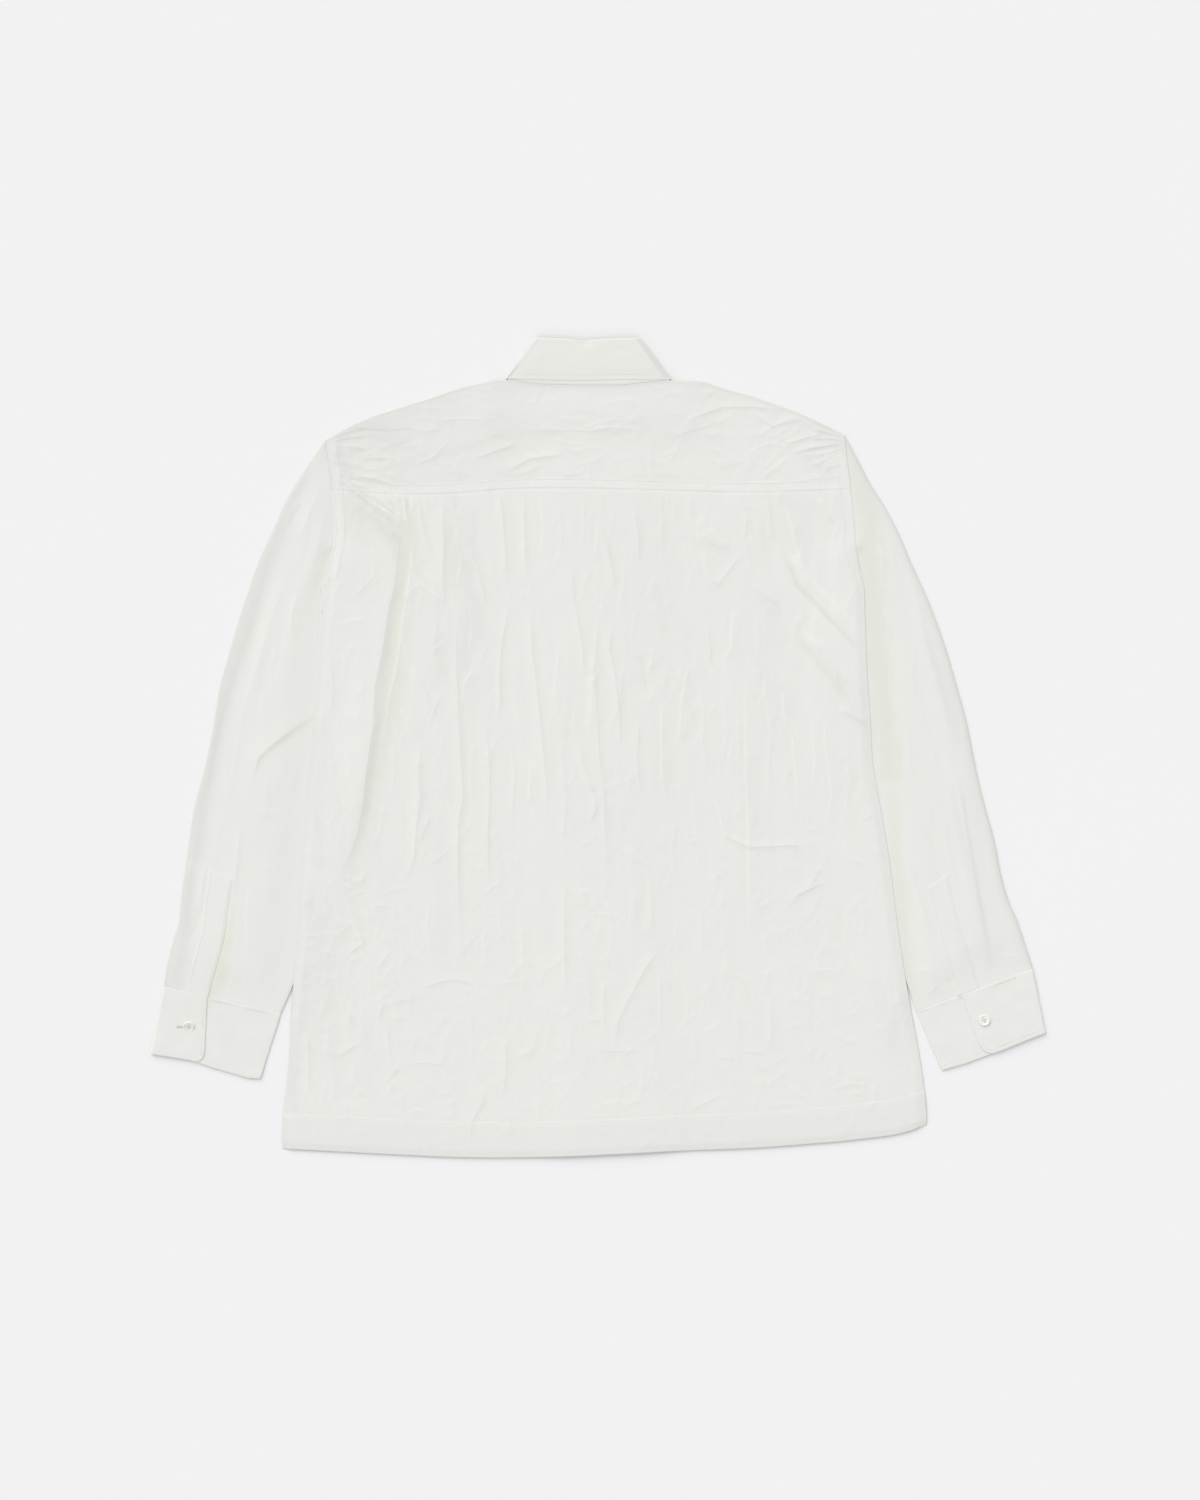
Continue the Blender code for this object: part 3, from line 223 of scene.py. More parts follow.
# %% Creases of the back
BACK_CREASES = (
    (1.8, 1.8, -1.1, -262, 268, -238, 248, -214, 228, -199, 212), (1.5, 1.5, 0.9, -256, 266, -232, 248,
     -208, 230,
     -196, 218), (1.5, 1.5, -0.9, -248, 262, -226, 247, -206, 234, -194, 222), (1.4, 1.4, -0.8, -226, 251,
      -212, 232,
     -201, 217), (1.3, 1.3, 0.8, -219, 251, -208, 236, -198, 222), (1.3, 1.3, -0.8, -211, 251, -203, 238,
      -196, 226),
    (1.3, 1.3, 0.7, -205, 251, -200, 236, -195, 226), (1.3, 1.3, -0.7, -198, 251, -195, 238, -192, 228),
    (1.3, 1.3, -0.7, -190, 251, -189, 236), (1.3, 1.3, 0.6, -184, 251, -185, 234), (1.3, 1.3, -0.6, -177,
     251, -179, 236),
    (3.2, 4.5, -1.7, 187, 190, 200, 160, 226, 133, 254, 103), (4, 4, 1.3, 194, 194, 209, 167, 235, 142, 259,
     115),
    (5, 5, 1.1, 206, 117, 229, 91, 250, 66, 264, 49), (4, 6, -0.9, 200, 108, 222, 80, 244, 54, 256, 38),
    (2.2, 8.4, 0.98, -232, 243, -216, 227, -196, 204),
    (6.7, 2.3, 1.01, -226, 235, -212, 221, -199, 203),
    (2.3, 7.2, 1.24, -217, 239, -206, 230, -195, 219),
    (4.9, 1.7, 0.38, -208, 242, -200, 233, -192, 225),
    (2.1, 7.1, 0.68, -246, 247, -238, 235, -226, 225), (4.7, 1.6, 0.5, -261, 227, -260, 202, -263, 185),
    (2.1, 5.6, 0.79, -211, 253, -209, 233, -204, 219), (1.7, 4.6, 0.38, -205, 253, -202, 235),
    (1.8, 4.5, 0.38, -199, 255, -197, 227), (1.6, 6.4, 0.9, -194, 255, -191, 231, -187, 217),
    (1.6, 4.1, 0.38, -186, 253, -184, 235),
    (2, 7.2, 1.24, -178.5, 254, -177, 229, -172, 207, -162, 182),
    (1.6, 4.7, 0.38, -171, 253, -170, 233), (1.5, 4.9, 0.38, -163, 254, -162, 237),
    (2.6, 10.9, 1.5, -156, 250, -154, 207, -155, 167, -153, 128),
    (2, 6.4, 1.24, -129, 202.5, -119, 174, -114, 151, -112, 135),
    (2.2, 7.6, 0.68, -175, 179.5, -163, 162, -152, 141), (7, 2.1, 0.9, -198, 147, -178, 163, -152, 141),
    (1.7, 7.1, 1.24, -98, 258, -95, 227, -92.4, 195, -90.5, 160),
    (2.1, 6.1, 1.12, -74.3, 258, -73, 217, -72.3, 176, -68.5, 157),
    (1.7, 4.5, 0.62, -26, 180, -24, 153, -24, 128),
    (1.6, 5.3, 1.12, -1, 222, 9, 201, 15, 174, 18.5, 147),
    (5.5, 2, 0.9, -143, 219, -136, 187, -140, 157),
    (4.5, 15, 2.65, -196, 227, -199, 199, -204, 157, -209, 137, -215, 98, -223, 58, -225, 18.5, -231, -21,
     -235, -60.6, -241, -90, -249, -110, -264.5, -145.6),
    (7, 2.6, 1.35, -182, 217, -186, 177, -194, 127, -200, 82, -208, 47, -212, 2),
    (1.4, 3.3, 0.38, -257, 242, -257, 217), (1.4, 3.6, 0.38, -226, 207, -222, 187, -226, 157),
    (1.3, 4.1, 0.38, -247, 147, -232, 161, -220, 175), (4.4, 1.6, 0.5, -262, 121, -244, 126, -226, 129),
    (1.7, 3.2, 0.38, 57, 253, 57.5, 237.4, 58.5, 227), (1.4, 4, 0.5, 63, 253, 64.2, 229, 65.7, 213),
    (1.7, 3.9, 0.38, 70, 253, 71, 239.8, 72.5, 231), (1.6, 3.4, 0.38, 78, 253, 76.1, 232.6, 77.8, 219),
    (1.5, 4.4, 0.38, 86, 253, 87.8, 241, 86.9, 233), (1.7, 4, 0.5, 92, 253, 93.6, 235, 89.7, 223),
    (2, 5.9, 0.9, 217, 250, 231, 229, 235.5, 224.5), (2, 6.5, 0.79, 169.5, 250.3, 173, 222, 175, 202),
    (6.6, 2.3, 1.12, 187.7, 244.6, 198, 210, 207.7, 172, 211.6, 160.4),
    (2.8, 11, 1.15, 185, 199, 196, 170, 211.6, 147, 230.7, 130, 245, 113.4, 262, 100),
    (2.2, 4.8, 0.79, 152, 164, 165.7, 153, 184.8, 138.4),
    (6.6, 2, 0.68, 104.4, 220, 118, 211, 131, 197), (2, 7.5, 0.68, 102, 214, 118, 202, 132, 195),
    (1.9, 5.5, 0.79, 106, 195, 116, 158.5), (2.3, 5.9, 0.79, 116, 157, 130, 175, 144.6, 195),
    (2.2, 6.6, 1.12, 35.6, 241, 41, 211, 41, 183.3), (1.8, 4.2, 0.38, 64, 225.4, 65, 183.3),
    (7.8, 1.8, 0.79, 1, 226, -1, 202, -3, 183), (1.4, 4.2, 0.5, 7, 208, 12.6, 166, 13.6, 151),
    (1.6, 4.1, 0.38, 28, 185.3, 26, 165, 24, 147), (1.7, 4.9, 0.5, 248, 227, 244, 203, 247, 177),
    (3.7, 1.6, 0.38, 240, 207, 238, 181, 244, 157), (1.7, 3.7, 0.62, 150, 237, 146, 207, 154, 181),
    (5.2, 1.4, 0.5, 86, 207, 92, 172, 88, 147), (1.6, 4.1, 0.5, -38, 247, -36, 207, -40, 181),
    (4.7, 1.6, 0.62, -57, 249, -54, 217, -57, 187), (1.7, 3.8, 0.5, -15, 252, -13, 223, -16, 195),
    (1.8, 5.7, 0.9, -187.4, 82, -171.6, 54, -167.6, 36.3),
    (1.9, 5.9, 0.79, -197.3, 42.2, -185.4, 20.5, -176.5, 9), (4.9, 2, 0.68, -166, 96, -152, 105.5),
    (1.9, 7.5, 0.68, -156, 54, -164, 35, -169.6, 18.5),
    (2.5, 6.9, 1.5, -175.5, 9, -179.5, -21, -177.5, -50.7, -181.5, -80, -183.4, -110, -189.4, -125.8,
     -200.2, -135.7),
    (1.9, 6.5, 0.9, -166, -66.5, -174, -83, -179.5, -98),
    (2.6, 8.8, 1.42, -141, 147, -142, 107.5, -140, 48, -137, -11, -135, -50.7, -140, -80, -140, -129.8,
     -137.4, -174, -138.4, -223),
    (6, 1.9, 1.12, -122.2, 80, -134, 62, -134, 48, -126, 32.3),
    (1.7, 5.7, 1.12, -88.5, 147, -96.5, 98, -98.4, 62, -97.4, 44, -102.4, 18.5),
    (1.7, 7.3, 1.12, -113.3, 28.4, -108.3, -11, -108.3, -50.7, -110.3, -90, -108.3, -149.6),
    (2.4, 8, 1.42, -68, 147, -66, 98, -62, 68, -58, 28.4, -54, -11, -51, -40.8, -52, -80),
    (2.2, 5.2, 1.24, -23.3, 147, -15.4, 98, -13.4, 68), (2, 6.3, 0.9, -5.5, 78, -4.5, 18.5),
    (1.7, 6.6, 1.01, -19.3, 5, -13.4, -25, -5.5, -40.8, -1.6, -62.6, -11.4, -82),
    (5.5, 1.7, 1.01, -67, -11, -68, -60.6), (1.7, 4.5, 0.62, -254, -1, -246, -19, -249, -39),
    (5.2, 1.7, 0.38, -242, -23, -246, -43, -236, -65), (1.6, 3.3, 0.5, -258, -53, -248, -65, -242, -77),
    (1.4, 4.5, 0.5, -255, -110, -246, -123, -250, -137),
    (3.5, 1.6, 0.45, -242, -111, -234, -127, -238, -143),
    (3.5, 1.8, 0.5, -157, 11, -151, -23, -154, -53), (1.5, 3.5, 0.62, -124, 7, -127, -33, -123, -65),
    (1.3, 3.4, 0.62, -86, 7, -83, -33, -87, -83), (3.3, 1.3, 0.62, -38, 107, -42, 57, -37, 7),
    (1.7, 5, 0.62, -35, -13, -32, -53, -35, -103), (1.5, 3.8, 0.5, -160, 127, -164, 97, -157, 71),
    (1.5, 5.1, 0.62, -268, 97, -264, 57, -268, 27), (4.6, 1.3, 0.5, -192, 135, -194, 107, -188, 85),
    (6.3, 2, 0.79, -128, 147, -125, 117, -130, 92), (1.6, 4.4, 0.62, -204, 7, -202, -23, -208, -53),
    (3.7, 1.6, 0.5, -214, -53, -218, -83, -226, -103), (1.5, 3.5, 0.5, -226, -53, -218, -65, -206, -71),
    (2.4, 9.9, 1.12, 1.8, 147, -3.2, 78, -1.2, 28.4, 1.8, -11, 5.7, -40.8, 7.7, -90, 9.7, -149.6),
    (1.6, 4.5, 0.38, -18, -29, -6, -39, 5, -45), (1.6, 3.4, 0.38, 5, -45, 18, -37, 34, -35),
    (3.7, 1.6, 0.38, 5, -45, 16, -59, 32, -65), (1.5, 3.8, 0.5, 5, -45, -2, -59, -8, -75),
    (1.6, 7, 1.24, 15.6, 127.2, 11.7, 98, 17.6, 68, 21.5, 36.3, 22.5, -11),
    (1.7, 7.7, 0.79, 25.5, 82, 23.5, 48, 13.6, 18.5), (7, 7, -0.9, 42, 95, 47, 71, 50, 49),
    (1.4, 3.4, 0.38, 57, 98, 51, 76), (7.3, 2.1, 0.9, 51, 143, 58, 129, 65, 115.4),
    (5.9, 2, 0.9, 92.7, 88, 84.8, 48, 83.8, 28.4, 78.9, -7),
    (1.8, 6.6, 0.79, 108.5, 123.3, 112.5, 96, 110.5, 78), (5.2, 1.9, 0.9, 136, 137, 134, 98, 122, 82),
    (7.2, 2, 1.12, 148, 78, 149, -31, 151, -70.5, 152, -149.6, 152, -202),
    (1.7, 4.2, 0.5, 160, 131, 162, 88),
    (9.9, 2.5, 1.35, 167.8, 92, 177.7, 68, 185.6, 54, 187.6, 28.4, 195.5, 9, 199.5, -31, 199.5, -80),
    (2.8, 11, 1.15, 201.5, 117.3, 219, 101.5, 237, 78, 243, 52),
    (6.9, 2.1, 1.2, 219, 111.4, 239, 86, 258.8, 58, 270.7, 28.4), (1.3, 5, 0.38, 142, 28.4, 140, -3),
    (2.7, 6.8, 1.12, 239, 40.2, 258.8, 28.4, 272.6, 20.5),
    (6.7, 2.2, 1.12, 229, 28.4, 227, 9, 232, -21, 234, -50.7, 227, -80),
    (5.1, 1.9, 1.12, 64, 48, 65, -31, 71, -60.6), (1.4, 3.9, 0.38, 94.7, -48.7, 98.6, -70.5),
    (2.2, 5.3, 1.01, 116.4, -50.7, 120.4, -60.6, 128.3, -90, 152, -100, 199.5, -98, 217, -116),
    (1.4, 3.5, 0.38, 128, -98, 146, -120), (1.8, 6.2, 0.57, 225, -116, 211, -141.7, 195.5, -149.6),
    (1.8, 3.9, 0.25, 229, -98, 239, -120), (4.5, 1.6, 0.5, 253, -112, 270.7, -116),
    (2.2, 5.2, 0.9, 29.5, -98, 49, -120, 57, -149.6), (1.4, 4.5, 0.38, 19.6, -66.5, 27.5, -86),
    (1.4, 3.6, 0.38, 98.6, -94, 90.7, -108), (1.8, 5, 0.79, 42, 35, 39, -13, 43, -53),
    (1.8, 3.9, 0.62, 108, 47, 105, 7, 110, -29), (1.5, 3.8, 0.5, 126, 57, 130, 17, 124, -23),
    (3.5, 1.7, 0.68, 214, 27, 218, -13, 212, -53), (1.6, 5.1, 0.5, 248, 7, 252, -33, 247, -73),
    (1.5, 5.2, 0.62, 174, 17, 171, -23, 176, -53), (4.8, 1.3, 0.5, 262, 7, 264, -33, 260, -63),
    (1.3, 4.3, 0.5, 78, -73, 74, -103, 80, -133), (3.9, 1.5, 0.62, -22, 47, -25, 17, -21, -5),
    (1.7, 7.5, 0.49, -140.4, -212.6, -130, -198, -117, -184), (3.3, 1.8, 0.5, -115, -182, -112, -221),
    (1.6, 6, 0.65, -181.3, -243, -155, -234, -141.5, -232.5, -128, -235, -117, -247, -110, -257),
    (1.4, 4, 0.38, -107, -147, -97, -161, -96.6, -194),
    (4.9, 1.6, 0.65, -75, -182, -75, -223, -74, -253),
    (2.2, 9, 1.13, -33.3, -133, -33.3, -196, -32.3, -235, -34.3, -257),
    (1.6, 3.4, 0.38, -10, -174, -20, -188), (1.3, 4.3, 0.5, -24, -200, -40, -215, -53, -225, -61, -243),
    (2.5, 10.4, 0.97, -92.5, -286, -91.5, -323, -95.6, -353),
    (1.6, 6.4, 0.49, -59, -278, -65, -302, -73, -314.6), (1.6, 4, 0.5, -28, -286, -25, -319),
    (2.6, 10.7, 0.86, -111, -336, -116, -357, -126, -374, -128, -403),
    (1.9, 7.3, 0.57, -191.5, -316.7, -174, -316, -156, -316.7, -149, -298),
    (7, 7, -0.65, -202, -323, -196, -337), (3.8, 1.3, 0.38, -206, -354, -196, -349, -187.4, -341),
    (2.7, 10.3, 0.81, -290.4, -284, -289, -315, -288.4, -353),
    (7, 7, -0.65, -301, -321, -303, -345, -302, -359),
    (1.3, 3.4, 0.38, -251, -153, -242.5, -147, -230, -143),
    (1.3, 4.1, 0.38, -228, -163.6, -218, -158.5, -204, -159.5),
    (2.2, 7.1, 0.86, -251, -153, -242.5, -174, -234.3, -196, -249, -206.5, -255, -216.7),
    (1.6, 5.4, 0.57, -220, -220.8, -212, -210, -206, -202),
    (1.9, 5.1, 0.49, -188.4, -237, -187, -253, -187.4, -271.8),
    (4.7, 1.4, 0.5, -198, -183, -194, -208, -200, -233),
    (2.2, 6.8, 0.81, -220, -247, -214, -257.5, -219, -267.7, -210, -284, -207, -318.7),
    (1.6, 4.1, 0.45, -262, -220.8, -257, -259.5, -248, -243, -238.4, -231),
    (1.6, 5.1, 0.5, -253, -288, -244.5, -263.6), (3.7, 1.6, 0.38, -258, -279, -252, -261),
    (1.9, 5.2, 0.73, -275, -300, -259, -308.5, -238.4, -296, -230.2, -294),
    (1.7, 5.6, 0.45, -241.5, -310.6, -242.5, -345), (1.4, 3.3, 0.38, -295, -201, -278, -197),
    (1.6, 3.3, 0.38, -276, -203, -260, -211), (1.3, 3.9, 0.25, -256, -197, -238, -203),
    (1.8, 4.4, 0.38, -292, -213, -280, -221), (1.5, 3.9, 0.38, -248, -215, -234, -209),
    (1.3, 4.4, 0.38, -268, -193, -254, -189), (1.7, 3.4, 0.38, -280, -238, -268, -231),
    (4.6, 1.4, 0.5, -232, -253, -238, -273, -234, -289),
    (1.8, 4.8, 0.5, -168, -153, -170, -183, -164, -211),
    (5, 1.4, 0.38, -158, -263, -154, -293, -160, -313),
    (1.5, 4.1, 0.5, -128, -263, -124, -293, -127, -323),
    (4.3, 1.8, 0.45, -53, -253, -50, -283, -56, -313),
    (1.6, 3.4, 0.49, -78, -153, -75, -193, -79, -228),
    (1.5, 3.3, 0.5, -173, -333, -158, -345, -146, -349),
    (4.4, 1.3, 0.45, -268, -323, -264, -343, -270, -361),
    (1.7, 4, 0.45, -11, -213, -8, -253, -12, -283), (1.4, 3.6, 0.38, -58, -328, -46, -337, -32, -333),
    (1.5, 4.7, 0.5, -118, -273, -106, -285, -98, -303), (1.8, 5.5, 0.57, 53, -133, 54, -167, 53, -190),
    (4.9, 1.7, 0.5, 80.7, -174, 76, -193), (1.5, 3.5, 0.38, 69, -199.6, 78, -205, 87.6, -211),
    (2.5, 7, 1.08, 63.5, -199.6, 51, -215.6, 39, -236, 28, -257, 20, -275, 15, -310),
    (7, 1.7, 0.65, 62, -211, 62, -291), (1.7, 7.2, 0.81, 188.6, -163, 198, -149, 216, -140, 230, -133),
    (1.6, 4.9, 0.38, 207, -176.6, 225, -144.5), (2.1, 5.9, 0.73, 253, -204, 266.7, -227, 280.4, -248),
    (1.5, 4.4, 0.38, 250.6, -259, 259.8, -252, 271, -264, 282.7, -267),
    (5.8, 1.9, 0.49, 211.6, -225, 228, -223, 243.7, -222.5),
    (1.4, 4, 0.38, 184, -253.5, 200, -252.5, 216, -253.5),
    (2.1, 6, 0.73, 171.4, -245.5, 173.7, -280, 172.5, -307.5), (5, 1.7, 0.45, 152, -231.7, 160, -270.7),
    (1.6, 4.3, 0.5, 94.5, -284.5, 101, -314),
    (1.5, 4.4, 0.45, -4, -293.7, 2.7, -303, 16, -304, 46, -303),
    (1.5, 3.8, 0.5, 142.7, -304, 168, -306), (1.7, 5.9, 0.49, 170, -314, 171.4, -337, 195.5, -321),
    (7, 7, -0.65, 168, -321, 171, -333), (1.7, 4.6, 0.38, 156.5, -335, 170, -338.5),
    (2.2, 5.6, 0.57, 92, -362.6, 110.6, -354, 129, -344), (1.3, 4.7, 0.5, 23, -360, 48.6, -351),
    (1.8, 5, 0.38, 116, -312, 138, -310), (1.7, 4.7, 0.45, 10, -153, 14, -193, 8, -228),
    (1.8, 6.4, 0.73, 8, -228, 5, -263, 9, -293), (5.1, 1.4, 0.45, 34, -153, 30, -183, 36, -203),
    (1.5, 3.2, 0.45, 102, -153, 105, -188, 101, -218), (4.5, 1.4, 0.5, 124, -173, 128, -208, 122, -243),
    (1.8, 4.4, 0.45, 137, -253, 141, -283, 136, -308), (1.3, 4.6, 0.5, 208, -273, 214, -298, 210, -319),
    (1.7, 3.9, 0.5, 234, -283, 248, -295, 260, -293), (3.8, 1.4, 0.45, 244, -153, 250, -178, 245, -198),
    (1.6, 5, 0.5, 262, -143, 267, -168, 264, -193), (1.6, 4.7, 0.5, 288, -213, 292, -243, 296, -273),
    (4.3, 1.3, 0.38, 274, -293, 282, -313, 290, -331),
    (1.7, 4.7, 0.45, 232, -343, 252, -337, 274, -339), (1.5, 4.3, 0.5, 86, -228, 92, -253, 89, -275),
    (3.8, 1.4, 0.45, 42, -313, 46, -333, 41, -351), (1.8, 3.6, 0.5, 192, -339, 202, -349, 214, -351),
    (1.3, 4.3, 0.38, 302, -293, 307, -313, 310, -337), (1.2, 3, 1.01, -232, 246, -214, 227, -197, 206),
    (1.2, 2.6, 0.9, -226, 249, -210, 231, -194, 212), (1.2, 2.6, 0.79, -219, 250, -206, 236, -192, 222),
    (1.2, 2.6, 0.79, -236, 242, -220, 224, -205, 203),
    (1.2, 2.6, 0.62, -212, 250, -202, 241, -190, 232), (1.1, 3, 0.56, -207, 256, -205, 227),
    (1.1, 3, 0.56, -201, 256, -198, 223), (1.1, 3, 0.56, -195, 256, -191, 227),
    (1.3, 3, 0.79, -264, 260, -257, 245, -246, 232), (1.2, 3, 0.68, -248, 250, -242, 242, -234, 235),
    (1.2, 3, 0.62, 221, 250, 228, 233, 235, 220), (1.2, 3, 0.62, 188, 250, 193, 227, 201, 200))

# %% Creases of the sleeves
LEFT_SLEEVE_CREASES = (
   
    (13, 13, -1.17, -314, 230, -329.4, 179, -345, 119.4, -359, 80, -371, 40.3, -379, 9, -387, -43, -395,
     -103),
    (9, 9, 0.98, -278, 258, -290, 228, -302, 202),
    (9, 9, 0.98, -304, 175, -321.5, 143, -337.3, 90, -353, 40.3, -362, -13, -372, -63),
    (1.7, 12, 1.72, -282.5, 33.5, -306, 16.5, -324, 3, -339, -11, -345, -34),
    (9, 9, 0.98, -280, 162, -280, 127, -284, 87), (1.7, 5.4, 0.72, -300, 155, -306, 129, -304, 107),
    (1.6, 4.6, 0.4, -300, -19, -305, -35, -309, -50),
    (1.7, 6.3, 0.81, -392, -119, -396, -148, -398, -168),
    (6, 6, -0.63, -395, -158, -400, -178, -410, -198), (1.8, 3.8, 0.3, -412.3, -167, -408.5, -174),
    (2, 7.6, 0.99, -357, -73, -359, -106, -363, -138, -366.5, -156),
    (1.6, 4.9, 0.3, -325, -233.6, -328, -256), (6, 6, -0.63, -308, -182, -316, -208, -324, -238),
    (3.6, 1.3, 0.4, -346, -65, -328, -66, -310.2, -65),
    (3.5, 1.3, 0.3, -341, -120, -328, -120.5, -315.3, -119),
    (1.3, 4.7, 0.4, -336, 107, -340, 75, -336, 57), (1.7, 4.8, 0.5, -318, 107, -326, 79, -324, 57),
    (1.8, 5.1, 0.4, -332, 57, -336, 43, -332, 31), (1.8, 3.4, 0.5, -402, -83, -406, -115, -410, -143),
    (3.6, 1.3, 0.4, -409, -95, -412, -121, -417, -153),
    (1.5, 4.6, 0.3, -288, 173, -280, 175, -272, 170), (4, 1.3, 0.3, -292, 165, -283, 167, -276, 161),
    (1.9, 5.2, 0.63, -295, 247, -306, 235, -312, 217), (1.5, 4.6, 0.4, -290, 273, -298, 263, -302, 249),
    (1.8, 5.1, 0.4, -377, -73, -381, -103, -384, -123),
    (1.7, 4.6, 0.3, -422, -203, -412, -213, -402, -217),
    (1.3, 4.2, 0.3, -418, -228, -408, -233, -396, -233),
    (7.6, 2.1, 0.81, -348, -133, -351, -173, -348, -213),
    (1.4, 4.2, 0.4, -366, 7, -371, -25, -368, -53), (4.4, 1.7, 0.5, -330, -23, -333, -53, -330, -83),
    (1.5, 4.9, 0.3, -355, -249, -351, -233, -353, -219),
    (1.3, 4, 0.4, -340, -253, -336, -237, -340, -221))
RIGHT_SLEEVE_CREASES = (
    (13, 13, -1.17, 270, 207, 274, 167, 286, 127, 290, 67, 292, 7, 296, -53),
    (9, 9, 0.98, 307, 187, 321, 137, 332, 87, 347, 35, 353, -13),
    (2.1, 5, 0.81, 316, 147, 324, 115, 340.8, 64, 350, 30.4),
    (1.7, 12, 1.72, 353, -22, 362, -47, 372, -106, 379.8, -152, 387, -188, 393.9, -220),
    (4.2, 1.3, 0.3, 347, -15, 352, -28, 357, -43),
    (9, 9, -0.99, 322, -65, 333.9, -96, 349, -157, 364.5, -198, 374.7, -236),
    (1.6, 4, 0.4, 331, -60, 332.6, -80.6),
    (1.7, 5.9, 0.9, 305.8, -88, 308, -111, 318.6, -144, 328.8, -177.6, 336, -203),
    (6, 6, -0.63, 308, -133, 312, -153, 316, -169),
    (1.6, 7.1, 0.9, 313, -221, 324, -222, 331, -224, 339, -239, 328, -249, 318.6, -254),
    (1.6, 5.6, 0.54, 327, -251, 342, -245, 354, -243), (6, 6, -0.63, 348, -231, 356, -237),
    (1.5, 4.2, 0.5, 387.5, -65, 395, -116, 410.5, -162, 422, -198),
    (5.1, 1.4, 0.4, 382, -65, 390, -116, 405, -162, 417, -198),
    (1.5, 3.4, 0.3, 414, -191, 420, -205, 424, -219), (4.6, 1.8, 0.3, 404, -203, 408, -213, 414, -221),
    (1.7, 6, 0.63, 285, -65, 290, -79, 298, -93), (9, 9, 0.98, 302, -83, 307, -103, 318, -133),
    (1.5, 4.4, 0.4, 282, 247, 292, 227, 302, 212), (1.6, 4.5, 0.5, 264, 277, 274, 255, 286, 239),
    (1.3, 4.7, 0.4, 310, 27, 312, -13, 318, -43), (4.9, 1.7, 0.4, 332, 7, 336, -28, 342, -58),
    (6, 6, -0.63, 368, -198, 377, -218, 385, -231), (5.2, 1.5, 0.5, 298, -153, 301, -183, 307, -208),
    (1.7, 3.5, 0.54, 344, -63, 350, -103, 360, -143), (1.5, 5.1, 0.5, 364, 27, 370, -13, 376, -43),
    (4, 1.4, 0.4, 402, -211, 416, -208, 426, -211), (1.5, 3.8, 0.4, 317, 107, 314, 67, 320, 41),
    (3.5, 1.3, 0.5, 280, 227, 284, 187, 282, 147))
print("creases:", sum(map(len, (YOKE_CREASES, BACK_CREASES, LEFT_SLEEVE_CREASES, RIGHT_SLEEVE_CREASES))))

# %% [markdown]
# ## Laying a crease into the cloth
# For every point of the cloth, `relief` finds the nearest place on the crease, which side of it
# the point is on, and how far along. The height falls off to both sides and fades at both ends.
# Between the listed creases there are hundreds of smaller ones. `small_creases` lays them
# from a seeded list, so they are the same in each run, and `hills` is soft random ground.

# %% Relief from creases
WINDOW = np.array((-0.55, 0.83))      # the way to the window, seen from above


def relief(rows, x, y):
    """The height of all creases, and for the strongest one its signed distance and strength."""
    total, nearest, power = np.zeros(np.shape(x)), np.zeros(np.shape(x)), np.zeros(np.shape(x))
    for away, toward, height, *path in rows:
        points = np.array(path, float).reshape(-1, 2)
        reach = 2 * max(away, toward) + 3
        low, high = points.min(0) - reach, points.max(0) + reach
        near = (x > low[0]) & (x < high[0]) & (y > low[1]) & (y < high[1])
        if not near.any():
            continue
        px, py = x[near], y[near]
        run = points[-1] - points[0]
        turn = -1 if np.dot((-run[1], run[0]), WINDOW) > 0 else 1
        steps = np.diff(points, axis=0)
        lengths = np.hypot(*steps.T)
        starts = np.concatenate(([0], np.cumsum(lengths)))
        best, aside, along = np.full(px.shape, 1e9), np.zeros(px.shape), np.zeros(px.shape)
        for start, step, length, begun in zip(points, steps, lengths, starts):
            dx, dy = px - start[0], py - start[1]
            ux, uy = step / length
            t = np.clip(dx * ux + dy * uy, 0, length)
            distance = np.hypot(dx - t * ux, dy - t * uy)
            closer = distance < best
            best[closer] = distance[closer]
            aside[closer] = (turn * (dy * ux - dx * uy))[closer]
            along[closer] = (begun + t)[closer]
        share = along / starts[-1]
        width = np.where(aside > 0, away, toward)
        local = height * ease(share / 0.22) * ease((1 - share) / 0.3)
        total[near] += local * np.clip(1 - best / (1.8 * width), 0, 1) ** 1.7
        felt = np.abs(local) * np.clip(1 - best / 9, 0, 1)
        stronger = felt > np.abs(power[near]) * np.clip(1 - np.abs(nearest[near]) / 9, 0, 1)
        nearest[near] = np.where(stronger, np.where(aside > 0, best, -best), nearest[near])
        power[near] = np.where(stronger, local, power[near])
    return total, nearest, np.clip(power, -0.8, 0.8) * np.clip(1.25 - np.abs(nearest) / 4, 0, 1)


def hills(x, y, seed):
    """Soft random ground from -1 to 1, about one hill for each unit."""
    lattice = np.random.default_rng(seed).uniform(-1, 1, (64, 64))
    i, j = np.floor(x).astype(int), np.floor(y).astype(int)
    u, v = ease(x - i), ease(y - j)
    low = mix(lattice[i % 64, j % 64], lattice[(i + 1) % 64, j % 64], u)
    high = mix(lattice[i % 64, (j + 1) % 64], lattice[(i + 1) % 64, (j + 1) % 64], u)
    return mix(low, high, v)


